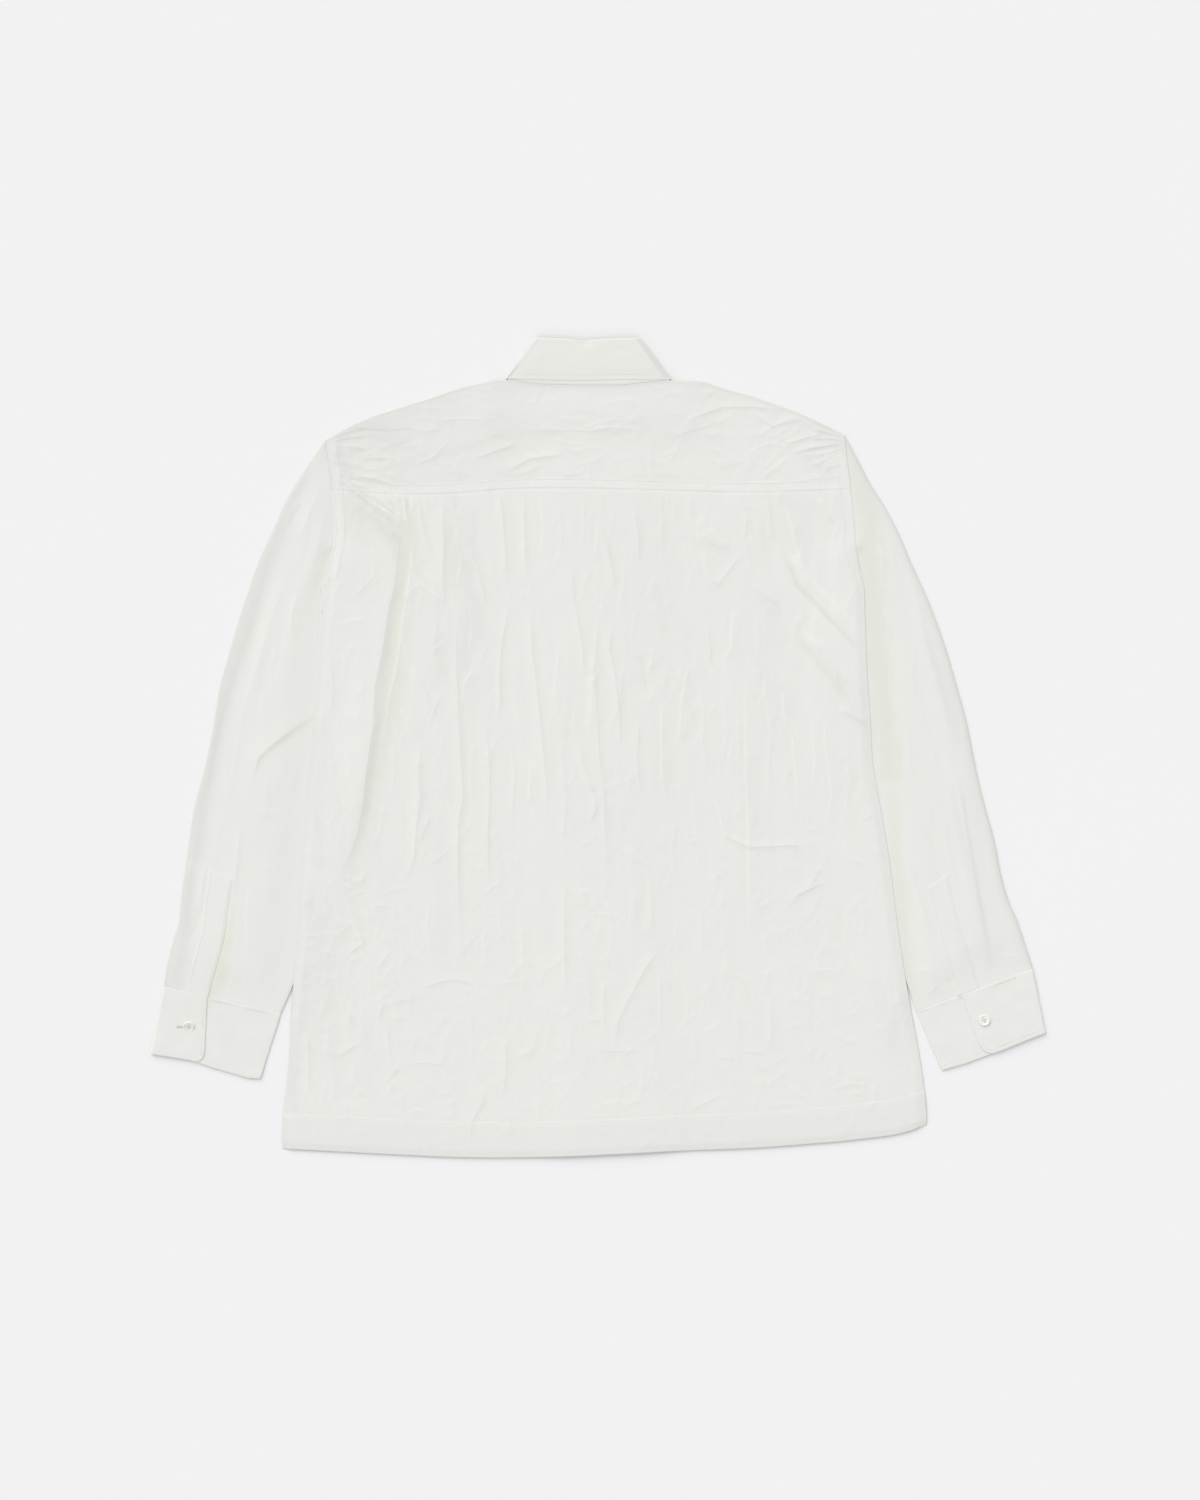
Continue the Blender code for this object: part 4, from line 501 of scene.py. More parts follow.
def small_creases(count, box, lean, spread, seed):
    """Short forked creases spread over a box, leaning by so many degrees from upright."""
    dice = np.random.default_rng(seed)
    rows = []
    for _ in range(count):
        x, y = dice.uniform(box[0], box[1]), dice.uniform(box[2], box[3])
        angle = math.radians(lean(x, y) + dice.normal(0, spread(x, y)))
        length = dice.uniform(9, 34) * (1 + dice.random() ** 3)
        bend = dice.normal(0, 0.09) * length
        dx, dy = math.sin(angle) * length / 2, math.cos(angle) * length / 2
        sharp, wide = dice.uniform(1.1, 1.7), dice.uniform(2.2, 5)
        if dice.random() < 0.4:
            sharp, wide = wide, sharp
        height = dice.uniform(0.13, 0.42)
        knee = x + bend * math.cos(angle), y - bend * math.sin(angle)
        rows.append((sharp, wide, height, x - dx, y - dy, *knee, x + dx, y + dy))
        if dice.random() < 0.6:                # a branch that leaves from the knee
            fork = angle + math.radians(dice.uniform(24, 62)) * dice.choice((-1, 1))
            reach = length * dice.uniform(0.35, 0.75) * dice.choice((-1, 1))
            rows.append((sharp, wide * 0.7, height * 0.9, knee[0] - math.sin(fork) * reach * 0.12,
                         knee[1] - math.cos(fork) * reach * 0.12, knee[0] + math.sin(fork) * reach,
                         knee[1] + math.cos(fork) * reach))
    return rows


def facets(x, y, wide, tall, seed):
    """Flat facets of random tilt with sharp edges between them, from -1 to 1 in height."""
    dice = np.random.default_rng(seed)
    jitter = dice.uniform(-0.36, 0.36, (2, 97, 97))
    height = dice.uniform(-1, 1, (97, 97))
    other = dice.random((97, 97)) < 0.5
    u, v = x / wide, y / tall
    i0, j0 = np.floor(u).astype(int), np.floor(v).astype(int)
    field, done = np.zeros(np.shape(x)), np.zeros(np.shape(x), bool)

    def corner(i, j):
        a, b = i % 97, j % 97
        return i + jitter[0, a, b], j + jitter[1, a, b], height[a, b]

    for di in (0, -1, 1):
        for dj in (0, -1, 1):
            i, j = i0 + di, j0 + dj
            c00, c10, c11, c01 = corner(i, j), corner(i + 1, j), corner(i + 1, j + 1), corner(i, j + 1)
            turned_way = other[i % 97, j % 97]
            for half in (0, 1):
                p, q, r = ((c00, c10, c11), (c00, c11, c01))[half]
                s, t, w = ((c00, c10, c01), (c10, c11, c01))[half]
                (px, py, ph), (qx, qy, qh), (rx, ry, rh) = (
                    tuple(np.where(turned_way, two, one) for one, two in zip(first, second))
                    for first, second in ((p, s), (q, t), (r, w)))
                area = (qx - px) * (ry - py) - (rx - px) * (qy - py)
                b1 = ((u - px) * (ry - py) - (rx - px) * (v - py)) / area
                b2 = ((qx - px) * (v - py) - (u - px) * (qy - py)) / area
                inside = (b1 >= -1e-9) & (b2 >= -1e-9) & (b1 + b2 <= 1 + 1e-9) & ~done
                field = np.where(inside, ph + b1 * (qh - ph) + b2 * (rh - ph), field)
                done |= inside
    return field


print("relief beside one crease:",
      relief(((2, 6, 1, 0, 0, 0, 50),), np.array([0.0, 4.0]), np.array([25.0, 25.0]))[0])

# %% [markdown]
# ## Painted glow, cool light and shade
# White cloth takes its small differences of colour from what lies behind it and from the light that
# comes through it. Deep in the folds it glows a little yellow, a place that stands off the layer
# below looks cooler, and a rolled edge is greyer in shade. All of this is light and shade, and the
# main ones are painted into the colour here as soft strokes: the painted yellowish glow (cooler
# where negative), the painted greying shade (a painted highlight where negative), half the width,
# and the path.

# %% Soft strokes of painted light and shade
# Each row is painted light and shade: the yellowish glow, the greying shade, half the width, then the path.
BODY_PAINTED_SHADING = (      # warmth, greyness, half-width, then x, y, x, y ...
    (0.85, 0.35, 7.5, -186, 233, -194, 167, -202, 107, -209, 47, -220, -13, -232, -63),
    (0, 0.7, 5, -199, 204, -208, 127, -216, 40, -232, -53, -251, -125),
    (0.35, 0.15, 7, 170, 257, 167, 222, 164, 187), (0.3, 0, 6, 211, 163, 227, 142, 246, 119),
    (0.15, 0.15, 26, -236, 307, -210, 247, -198, 197), (0.14, 0, 20, -8, 247, 52, 257, 112, 272),
    (-0.6, 0.3, 9, 217, 309, 220, 288), (-0.5, 0.2, 9, 173, 153, 180, 129),
    (-0.55, 0.2, 9, 171, 80, 181, 40, 174, -3), (-0.5, 0.15, 7, 167, -60, 174, -90, 170, -117),
    (-0.45, 0.1, 4, 86, 127, 92, 57, 85, 2), (-0.55, 0.3, 8, -279, 19, -285, -50, -279, -115),
    (-0.6, 0.4, 15, -288, -153, -278, -190, -283, -223), (-0.5, 0.15, 7, -221, -101, -213, -140, -219, -170),
    (-0.6, 0.2, 9, -158, -98, -150, -150, -156, -201), (-0.45, 0.1, 6, -59, -108, -49, -191),
    (-0.5, 0.2, 7, -233, -285, -225, -315, -229, -345), (-0.45, 0.1, 6, -266, -285, -259, -341),
    (-0.55, 0.2, 8, 279, -238, 290, -270, 303, -315), (-0.4, 0.1, 6, -173, -39, -166, -85),
    (0, 0.9, 11, -260, 309, -233, 317, -198, 310), (0.1, 1.0, 3, 187, 192, 201, 160, 228, 132, 255, 102),
    (-0.2, -0.5, 5, 198, 189, 213, 163, 239, 138, 262, 112), (0.2, 0.4, 6, 201, 108, 223, 80, 245, 54),
    (0.1, 0.45, 8, -150, 214, -146, 190, -143, 165), (0.1, 0.5, 9, -158, 104, -156, 70),
    (0.1, 0.4, 7, -122, 150, -118, 118), (0.1, 0.45, 9, -240, 236, -232, 206), (0, 0.4, 8, 186, 246, 210,
     236),
    (0, 0.4, 6, 98, 206, 128, 198), (-0.5, 0.2, 8, 208, 212, 208, 192), (-0.5, 0.2, 8, 219, 190, 222, 165),
    (-0.55, 0.25, 10, 176, 140, 176, 102), (-0.5, 0.25, 9, 205, 290, 226, 272),
    (0, 0.9, 11, -256, 285, -242, 252, -218, 227, -200, 209), (0, 0.8, 12, 224, 317, 238, 307, 250, 297),
    (0, 0.7, 6, -125, 232, -128, 147, -134, 82), (0, 0.4, 9, -146, 252, -138, 187),
    (0, 0.7, 5, -292, -223, -300, -293, -304, -363),
    (0, -0.6, 8, -230, 191, -240, 127, -248, 47, -258, -38), (0, -0.6, 17, 197, 182, 232, 147, 252, 102),
    (0, 0.5, 5, 195, 181, 227, 142, 260, 99), (0, 0.45, 5, 242, 52, 260, 29, 279, 3))
LEFT_PAINTED_SHADING = (
    (0.75, 0.05, 3.5, -270, 191, -279, 172, -283, 160), (0.5, 0, 4, -286, 152, -296, 130, -301, 108),
    (1, 0.55, 3, -282, 30, -302, 17, -325, -2), (1.0, 0.4, 2.2, -364.5, -160, -366, -176),
    (0.9, 0.3, 4.5, -368, -176, -370, -194), (0.9, 0.3, 7, -373, -194, -376, -226),
    (0.9, 0.3, 6, -378, -222, -384, -244), (1.2, 0.3, 3.5, -386, -244, -391.5, -265),
    (-0.5, 0, 7, -355, -19, -361, -43), (-0.5, 0.1, 8, -325, -48, -334, -80, -328, -108),
    (-0.6, 0.1, 11, -329, -148, -341, -180, -334, -218),
    (0.15, 0.8, 7, -295, 277, -316, 216, -336, 157, -357, 87, -376, 27, -392, -43, -402, -108),
    (0, -0.7, 8, -285, 222, -302, 157, -316, 97, -340, 37, -357, -43),
    (0, 0.8, 6, -407, -128, -412, -193, -419, -240), (-0.55, 0.1, 10, -379, -278, -368, -298),
    (-0.5, 0, 6, -437, -258, -436, -302))
RIGHT_PAINTED_SHADING = (
    (1.1, 0.8, 13, 257, 297, 268, 227, 272, 167, 278, 107, 285, 40, 291, -23),
    (0.9, 0.5, 7, 295, -50, 298, -103, 303, -160, 307, -213, 311, -245),
    (-0.55, 0.1, 7, 345, -283, 357, -312), (-0.6, 0.1, 7, 342, 82, 352, 47, 364, -8, 375, -66, 383, -113,
     391, -165),
    (0, -0.6, 5, 310, 147, 327, 67, 342, 7, 349, -45), (0, 0.5, 5, 327, 107, 347, 47, 360, 7),
    (0, 0.7, 4, 354, -43, 367, -103, 379, -153, 393, -218))


def strokes(rows, x, y):
    """The painted yellowish glow and painted greying shade (a painted highlight where negative) of all
    strokes at each place.
    """
    painted_warm, painted_grey = np.zeros(np.shape(x)), np.zeros(np.shape(x))
    for painted_warmth, painted_greyness, half, *path in rows:
        points = np.array(path, float).reshape(-1, 2)
        low, high = points.min(0) - 3 * half, points.max(0) + 3 * half
        near = (x > low[0]) & (x < high[0]) & (y > low[1]) & (y < high[1])
        if not near.any():
            continue
        px, py = x[near], y[near]
        best = np.full(px.shape, 1e9)
        for start, end in zip(points, points[1:]):
            dx, dy = end - start
            t = np.clip(((px - start[0]) * dx + (py - start[1]) * dy) / (dx * dx + dy * dy), 0, 1)
            best = np.minimum(best, np.hypot(px - start[0] - t * dx, py - start[1] - t * dy))
        ragged = 1 + (0.4 * hills(px / 7, py / 15, 17) + 0.3 * hills(px / 3, py / 9, 18)) * (half > 7)
        soft = np.exp(-(best / (half * ragged)) ** 2)
        painted_warm[near] += painted_warmth * soft
        painted_grey[near] += painted_greyness * soft
    return painted_warm, painted_grey


print("strokes:", len(BODY_PAINTED_SHADING) + len(LEFT_PAINTED_SHADING) + len(RIGHT_PAINTED_SHADING))

# %% [markdown]
# ## How high the cloth lies
# The back rests on the fronts, on the row of buttons, on the inner edges of the sleeves and on the
# collar, so it rises a little over each of them. One function gives the height of the yoke and the
# back together, so that a crease runs on across their seam. Seams add their own relief: a band
# where the turned-in cloth lies double.

# %% Levels of the layers
TABLE_LAYER = 0.35       # the middle of the lowest layer
BACK_LEVEL = 2.6         # the middle of the back where it lies on the fronts alone
SLEEVE_LEVEL = 1.8       # the upper layer of a sleeve where it is pressed flat
SLEEVE_ROUND = 115      # half the way round a sleeve, which turns a share into millimetres
SLEEVE_LONG = 460       # down a sleeve from the armhole to the cuff, for the same
CUFF_DEPTH = 66         # from a cuff's seam to its edge
RELIEF = 0.6             # how much of their height the creases keep under the iron
STRIP, CLOSED = 2.3, 2.9           # the left front over the buttons, and the right front over it
YOKE_BAND, ARM_BAND, HEM_BAND = 10.0, 11.0, 34.5     # widths of the doubled cloth


def near_centre(x, y, half, fade):
    return ease(1 - np.maximum(np.abs(x - centre_x(y)) - half, 0) / fade)


def over_sleeves(x, y, spread, soft=0):
    reach = (ease((195 + spread + 0.5 * soft - y) / (17 + 0.5 * soft))
             * ease((y + 263 + spread + 1.4 * soft) / (20 + 1.4 * soft)))
    left = ease(1 - (x - read(SLEEVE_INNER, y, LEFT) - 12 - spread) / (14 + soft))
    right = ease(1 - (read(SLEEVE_INNER, y, RIGHT) - 12 - spread - x) / (14 + soft))
    return reach * np.maximum(left, right)


def over_points(x, y, spread):
    """Where the neck lies on the collar's two points."""
    beside = np.maximum(np.maximum(-98 - spread - x, x - 79 - spread), 0) / 16
    below = np.maximum(240 - spread - y, 0) / 16
    return ease(1 - beside) * ease(1 - below)


def back_base(x, y):
    strip = 1.5 * near_centre(x, y, 28, 60) * ease((366 - y) / 22)
    collar = 2.5 * ease((y - 290) / 50) * ease(1 - np.maximum(np.maximum(-100 - x, x - 81), 0) / 45)
    sleeves = 1.8 * over_sleeves(x, y, 6, 30)
    lifted = 0.3 * ease((-320 - y) / 85)               # the lower end stands off the table a little
    return BACK_LEVEL + lifted + (strip ** 2 + collar ** 2 + sleeves ** 2) ** 0.5


print("the back over the buttons:", round(float(back_base(np.array(0.0), np.array(0.0))), 2))

# %% The creased back
def lean_of(x, y):
    """Upright on the back, and turned towards the shoulders on the yoke."""
    if y < 254:
        return 14 * math.sin(x / 47 + y / 90)
    return -66 if x < -10 else 66


def spread_of(x, y):
    return 16 if y > 254 else 13 + 24 * float(ease((40 - y) / 300))


SMALL = small_creases(560, (-318, 330, -405, 250), lean_of, spread_of, 3)
SMALL += small_creases(150, (-272, 246, 258, 360), lean_of, lambda x, y: 24, 4)
SMALL += small_creases(60, (-300, -180, -370, -120), lean_of, lambda x, y: 60, 5)
SMALL += small_creases(34, (-268, -190, 225, 300), lean_of, lambda x, y: 30, 6)
SMALL += small_creases(230, (-318, 330, -372, -70), lean_of, lambda x, y: 58, 7)
SMALL = tuple(SMALL)


def crinkle(x, y, seed):
    """Crisp crumpled facets: long and upright on the back, shorter and every way near the hem."""
    warp_x = x + 4 * hills(x / 40, y / 70, seed)
    warp_y = y + 6 * hills(x / 50, y / 60, seed + 1)
    upright = (0.75 * facets(warp_x, warp_y, 24, 120, seed + 2)
               + 0.42 * facets(warp_x, warp_y, 12, 52, seed + 3)
               + 0.2 * facets(x, y, 6.5, 22, seed + 4))
    turned_x, turned_y = warp_x * 0.8 + warp_y * 0.6, warp_y * 0.8 - warp_x * 0.6
    every_way = (0.4 * facets(turned_x, turned_y, 24, 36, seed + 5)
                 + 0.34 * facets(warp_x, warp_y, 11, 15, seed + 6)
                 + 0.14 * facets(turned_x, y, 6.5, 9, seed + 8))
    strength = 0.75 + 0.35 * hills(x / 90, y / 90, seed + 7)
    low = ease((-110 - y) / 190)
    return strength * mix(upright, every_way + 0.4 * upright, low)


def fan(x, y, seed):
    """Facets on the yoke, running out from the neck to the shoulders."""
    side = np.where(x < -10, -1.0, 1.0)
    away, down = side * (x + 10), y - 254
    turned_x, turned_y = away * 0.35 + down * 0.94, away * 0.94 - down * 0.35
    return (0.36 * facets(turned_x, turned_y + 500 * side, 20, 70, seed)
            + 0.32 * facets(turned_x, turned_y + 500 * side, 9, 30, seed + 1)
            + 0.14 * facets(x, y, 7, 9, seed + 2))


def from_edges(x, y):
    """The distance to the armhole or the side, and to the yoke's seam (positive above it)."""
    share = share_at(x, y)
    side = np.minimum(x - back_side(y, LEFT), back_side(y, RIGHT) - x)
    return side, y - smooth(YOKE_SEAM, share), y - smooth(HEM, share)


def seam_bands(x, y):
    """Where turned-in cloth lies double: 1 on the band, 0 beside it."""
    side, above_seam, above_hem = from_edges(x, y)
    yoke = ease((YOKE_BAND - above_seam) / 1.6 + 0.5) * (above_seam > -0.4)
    arm = ease((ARM_BAND - side) / 1.6 + 0.5) * (y > 168)
    hem = ease((HEM_BAND - above_hem) / 1.8 + 0.5)
    return np.maximum(yoke, arm), hem


def side_fall(x, y):
    """How much of its height the body loses towards a pressed side."""
    side = from_edges(x, y)[0]
    return ease((210 - y) / 16) * (1 - ease((side + 1) / 12))


def side_level(x, y):
    """The height of the body's sides: just over the sleeve, or over the front's edge."""
    return 1.35 + 1.15 * np.maximum(over_sleeves(x, y, 0), over_sleeves(x, y, 25) * (y > 0))


def body_z(x, y):
    side, above_seam, above_hem = from_edges(x, y)
    top = read(TOP_LINE, x) - y
    calm = ease(side / 9) * ease(top / 9) * ease(above_hem / 6)
    hem_calm = 1 - 0.5 * ease((HEM_BAND - above_hem) / 4)
    folds = relief(YOKE_CREASES + BACK_CREASES, x, y)[0] + relief(SMALL, x, y)[0]
    on_yoke = ease(above_seam / 6 + 0.5)
    ground = 0.36 * hills(x / 38, y / 64, 11) + mix(crinkle(x, y, 21), fan(x, y, 41), on_yoke)
    double, hem = seam_bands(x, y)
    flat_base = mix(back_base(x, y), side_level(x, y), side_fall(x, y))
    line = 0.2 * np.exp(-((above_hem - HEM_BAND) / 1.3) ** 2)
    hem_drop = 0.7 * (1 - ease(above_hem / 7))
    return (flat_base + RELIEF * (folds + ground * 0.72) * calm * hem_calm + 0.15 * double + 0.3 * hem
            - line - hem_drop)


# %% [markdown]
# ## A sheet of cloth
# Each piece starts as a flat grid, as cloth does on the loom. `lay` moves its points to their
# places, marks how deep in a fold each one is, and gives the piece a map in metres, so that the
# weave has its true size everywhere. A thin piece is left as one layer whose edges are rolled
# down, and a stiff piece, such as a cuff, gets a wall with Solidify. Cloth simulation could drop
# the creases in by chance, but these have to lie where the real ones do, so they are listed one by one.

# %% Laying a sheet
def soften(field, reach):
    """The field averaged over so many points each way."""
    for axis in (0, 1):
        size = min(reach, field.shape[axis] // 2 - 1)
        padding = [(size + 1, size) if a == axis else (0, 0) for a in (0, 1)]
        total = np.cumsum(np.pad(field, padding, mode="edge"), axis=axis)
        upper = np.take(total, range(2 * size + 1, total.shape[axis]), axis=axis)
        lower = np.take(total, range(0, total.shape[axis] - 2 * size - 1), axis=axis)
        field = (upper - lower) / (2 * size + 1)
    return field


def lay(name, x, y, z, u, v, painted_shade_and_bands=(), chart=(), leave=None):
    """A grid of cloth with its points at x, y, z; u and v are its map. All in millimetres.
    Its shade channels are painted shade in the hollows, the paler doubled band, a painted yellowish glow
    (cooler where negative) and painted greying shade (a painted highlight where negative); the chart is a
    crease's distance and strength."""
    rows, columns = x.shape
    bpy.ops.object.select_all(action="DESELECT")
    bpy.ops.mesh.primitive_grid_add(x_subdivisions=columns - 1, y_subdivisions=rows - 1, size=1)
    piece = bpy.context.object
    piece.name = piece.data.name = name
    mesh = piece.data
    flat = np.empty(len(mesh.vertices) * 3)
    mesh.vertices.foreach_get("co", flat)
    flat = flat.reshape(-1, 3)
    i = np.rint((flat[:, 0] + 0.5) * (columns - 1)).astype(int)
    j = np.rint((flat[:, 1] + 0.5) * (rows - 1)).astype(int)
    if leave is not None:
        middles = np.empty(len(mesh.polygons) * 3)
        mesh.polygons.foreach_get("center", middles)
        middles = middles.reshape(-1, 3)
        ci = ((middles[:, 0] + 0.5) * (columns - 1)).astype(int)
        cj = ((middles[:, 1] + 0.5) * (rows - 1)).astype(int)
        spare = leave[cj, ci]
    placed = np.stack([x[j, i], y[j, i], z[j, i]], axis=1) * MM
    mesh.vertices.foreach_set("co", placed.ravel())
    corner = np.empty(len(mesh.loops), int)
    mesh.loops.foreach_get("vertex_index", corner)
    flat_map = np.stack([u[j, i], v[j, i]], axis=1) * MM
    mesh.uv_layers[0].data.foreach_set("uv", flat_map[corner].ravel())
    # the first attribute carries the painted shade and light and the paler band, the second the crease chart
    for label, fields in (("painted_shade_and_band", painted_shade_and_bands), ("crease", chart)):
        values = np.zeros((len(mesh.vertices), 4))
        for channel, field in enumerate(fields):
            values[:, channel] = (field + 0 * x)[j, i]
        mesh.color_attributes.new(label, "FLOAT_COLOR", "POINT").data.foreach_set("color", values.ravel())
    if leave is not None:
        bpy.ops.object.mode_set(mode="EDIT")
        bpy.ops.mesh.select_mode(type="FACE")
        bpy.ops.mesh.select_all(action="DESELECT")
        bpy.ops.object.mode_set(mode="OBJECT")
        mesh.polygons.foreach_set("select", spare)
        bpy.ops.object.mode_set(mode="EDIT")
        bpy.ops.mesh.delete(type="FACE")
        bpy.ops.object.mode_set(mode="OBJECT")
    bpy.ops.object.shade_smooth()
    return piece


def face_outwards(piece, up=None):
    """Normals all one way: up or down for a sheet, outwards for a tube."""
    bpy.ops.object.select_all(action="DESELECT")
    piece.select_set(True)
    bpy.context.view_layer.objects.active = piece
    bpy.ops.object.mode_set(mode="EDIT")
    bpy.ops.mesh.select_all(action="SELECT")
    bpy.ops.mesh.remove_doubles(threshold=0.00002)
    bpy.ops.mesh.normals_make_consistent(inside=False)
    bpy.ops.object.mode_set(mode="OBJECT")
    if up is not None:
        normals = np.empty(len(piece.data.polygons) * 3)
        areas = np.empty(len(piece.data.polygons))
        piece.data.polygons.foreach_get("normal", normals)
        piece.data.polygons.foreach_get("area", areas)
        if ((normals.reshape(-1, 3)[:, 2] * areas).sum() > 0) != up:
            bpy.ops.object.mode_set(mode="EDIT")
            bpy.ops.mesh.flip_normals()
            bpy.ops.object.mode_set(mode="OBJECT")


def wall(piece, thickness):
    """Gives an open sheet a real thickness and rounds its rim."""
    solid = piece.modifiers.new("wall", "SOLIDIFY")
    solid.thickness = thickness * MM
    solid.offset = 0
    solid.use_quality_normals = True
    bpy.ops.object.modifier_apply(modifier="wall")
    rim = piece.modifiers.new("rim", "BEVEL")
    rim.width = thickness * 0.3 * MM
    rim.segments = 2
    rim.limit_method = "ANGLE"
    rim.angle_limit = math.radians(60)
    bpy.ops.object.modifier_apply(modifier="rim")
    bpy.ops.object.shade_smooth()


def report(piece):
    area = sum(f.area for f in piece.data.polygons)
    print(f"{piece.name}: {len(piece.data.polygons)} faces, {area:.4f} m2")
    return area


def wearing(piece, *nodes, slot="cloth"):
    """The piece rides on the shirt and stands for its solids."""
    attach(piece, "root")
    if nodes:
        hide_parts(*nodes)


pieces = {}

# %% [markdown]
# ## The back panel
# The biggest piece. It hangs from the yoke's seam and ends in a hem that is turned up twice. At
# both sides it rolls down to the fronts, as the side seams are pressed there. Its grid has lines
# about 2 mm apart, close enough to carry the small creases.

# %% The back panel
def body_painted_shade_and_bands(x, y, z):
    """Painted shade in the hollows, the paler doubled band, a painted yellowish glow and painted greying
    shade of the body's upper side.
    """
    side, _, above_hem = from_edges(x, y)
    top = read(TOP_LINE, x) - y
    double, hem = seam_bands(x, y)
    # painted shade: the hollows between creases are darkened and yellowed in the colour
    fold_shade = np.clip((soften(z, 4) - z) / 0.5, 0, 1) * ease(side / 12) * ease(top / 12) * ease(above_hem / 12)
    hem_line = np.exp(-((above_hem - HEM_BAND + 1.5) / 2.6) ** 2)
    painted_warm, painted_grey = strokes(BODY_PAINTED_SHADING, x, y)
    # painted shade along the rolled shoulder and neck line, over the hem band, at the sides, down the left
    # side and on the upper left, and a painted highlight along the hem's edge
    rim = ((1.3 * np.exp(-(top / 3) ** 2) + 0.5 * np.exp(-(top / 10) ** 2)
            + 2.2 * np.exp(-(top / 1.3) ** 2)) * (y > 300) + 0.5 * hem
           - 0.3 * np.exp(-(above_hem / 1.6) ** 2) + 0.4 * np.exp(-(side / 3.5) ** 2) * (y < 200)
           + 1.1 * np.exp(-(side / 9) ** 2) * (x < 0) * ease((205 - y) / 20)
           + 0.45 * ease((-40 - x) / 60) * ease((y - 250) / 15))
    paler = 1.15 * double * (0.4 + 0.6 * ease((side - ARM_BAND) / 3))
    return fold_shade, np.maximum(paler, 0.8 * hem_line), painted_warm, painted_grey + 0.75 * rim


def crease_chart(rows, x, y):
    _, nearest, power = relief(rows, x, y)
    return nearest, power


def build_back():
    across = np.linspace(0, 1, 287)
    down = np.concatenate([np.linspace(0, 0.93, 288), np.linspace(0.93, 1, 30)[1:]])
    share = np.tile(across, (len(down), 1))
    upper, hem = smooth(YOKE_SEAM, across) - 0.5, smooth(HEM, across)
    y = mix(upper[None, :], hem[None, :], down[:, None])
    left, right = back_side(y, LEFT), back_side(y, RIGHT)
    x = mix(left + 0.8, right - 0.8, share)
    z = body_z(x, y)
    parts_x, parts_y, parts_z = [x], [y], [z]
    for side, at in ((LEFT, 0), (RIGHT, -1)):
        y_rim = y[:, at]
        edge, inward = back_side(y_rim, side), (1 if side == LEFT else -1)
        fall = ease((210 - y_rim) / 16)
        drop = fall * (0.55 + 0.1 * over_sleeves(edge, y_rim, 0)) + 0.35 * (1 - fall)
        rim_x, rim_z = [], []
        for k in (0.6, 0.3, 0.08, 0.0):
            rim_x.append(edge + inward * 0.8 * k)
            rim_z.append(z[:, at] - drop * (1 - np.sqrt(1 - (1 - k) ** 2)))
        rim_x.append(edge + inward * 0.5)
        rim_z.append(z[:, at] - drop - 0.15)
        if side == LEFT:
            rim_x, rim_z = rim_x[::-1], rim_z[::-1]
        block = (np.stack(rim_x, 1), np.tile(y_rim[:, None], (1, 5)), np.stack(rim_z, 1))
        for store, part in zip((parts_x, parts_y, parts_z), block):
            store.insert(0, part) if side == LEFT else store.append(part)
    x, y, z = (np.concatenate(p, axis=1) for p in (parts_x, parts_y, parts_z))
    tuck, lip = np.array([[2.3], [1.0]]), np.array([[0.25], [0.9], [1.5]])
    x = np.concatenate([x[:1], x[:1], x, x[-1:], x[-1:], x[-1:]])      # under the yoke, and the turned hem
    y = np.concatenate([y[:1] + tuck, y, y[-1:] + np.array([[-0.5], [-0.6], [-0.2]])])
    z = np.concatenate([z[:1] - 0.6, z[:1] - 0.3, z, np.maximum(z[-1:] - lip, 0.3)])
    piece = lay("back_panel_cloth", x, y, z, x, y, body_painted_shade_and_bands(x, y, z),
                crease_chart(BACK_CREASES + YOKE_CREASES + SMALL, x, y))
    face_outwards(piece, up=True)
    return piece


pieces["back"] = build_back()
report(pieces["back"])

# %% [markdown]
# ## The yoke
# The yoke is a double piece over the shoulders. Here it is one sheet that comes up the back, rolls
# over each shoulder line, and goes down to the seam of the front. Over the neck there is no front
# part, so those faces are taken out.

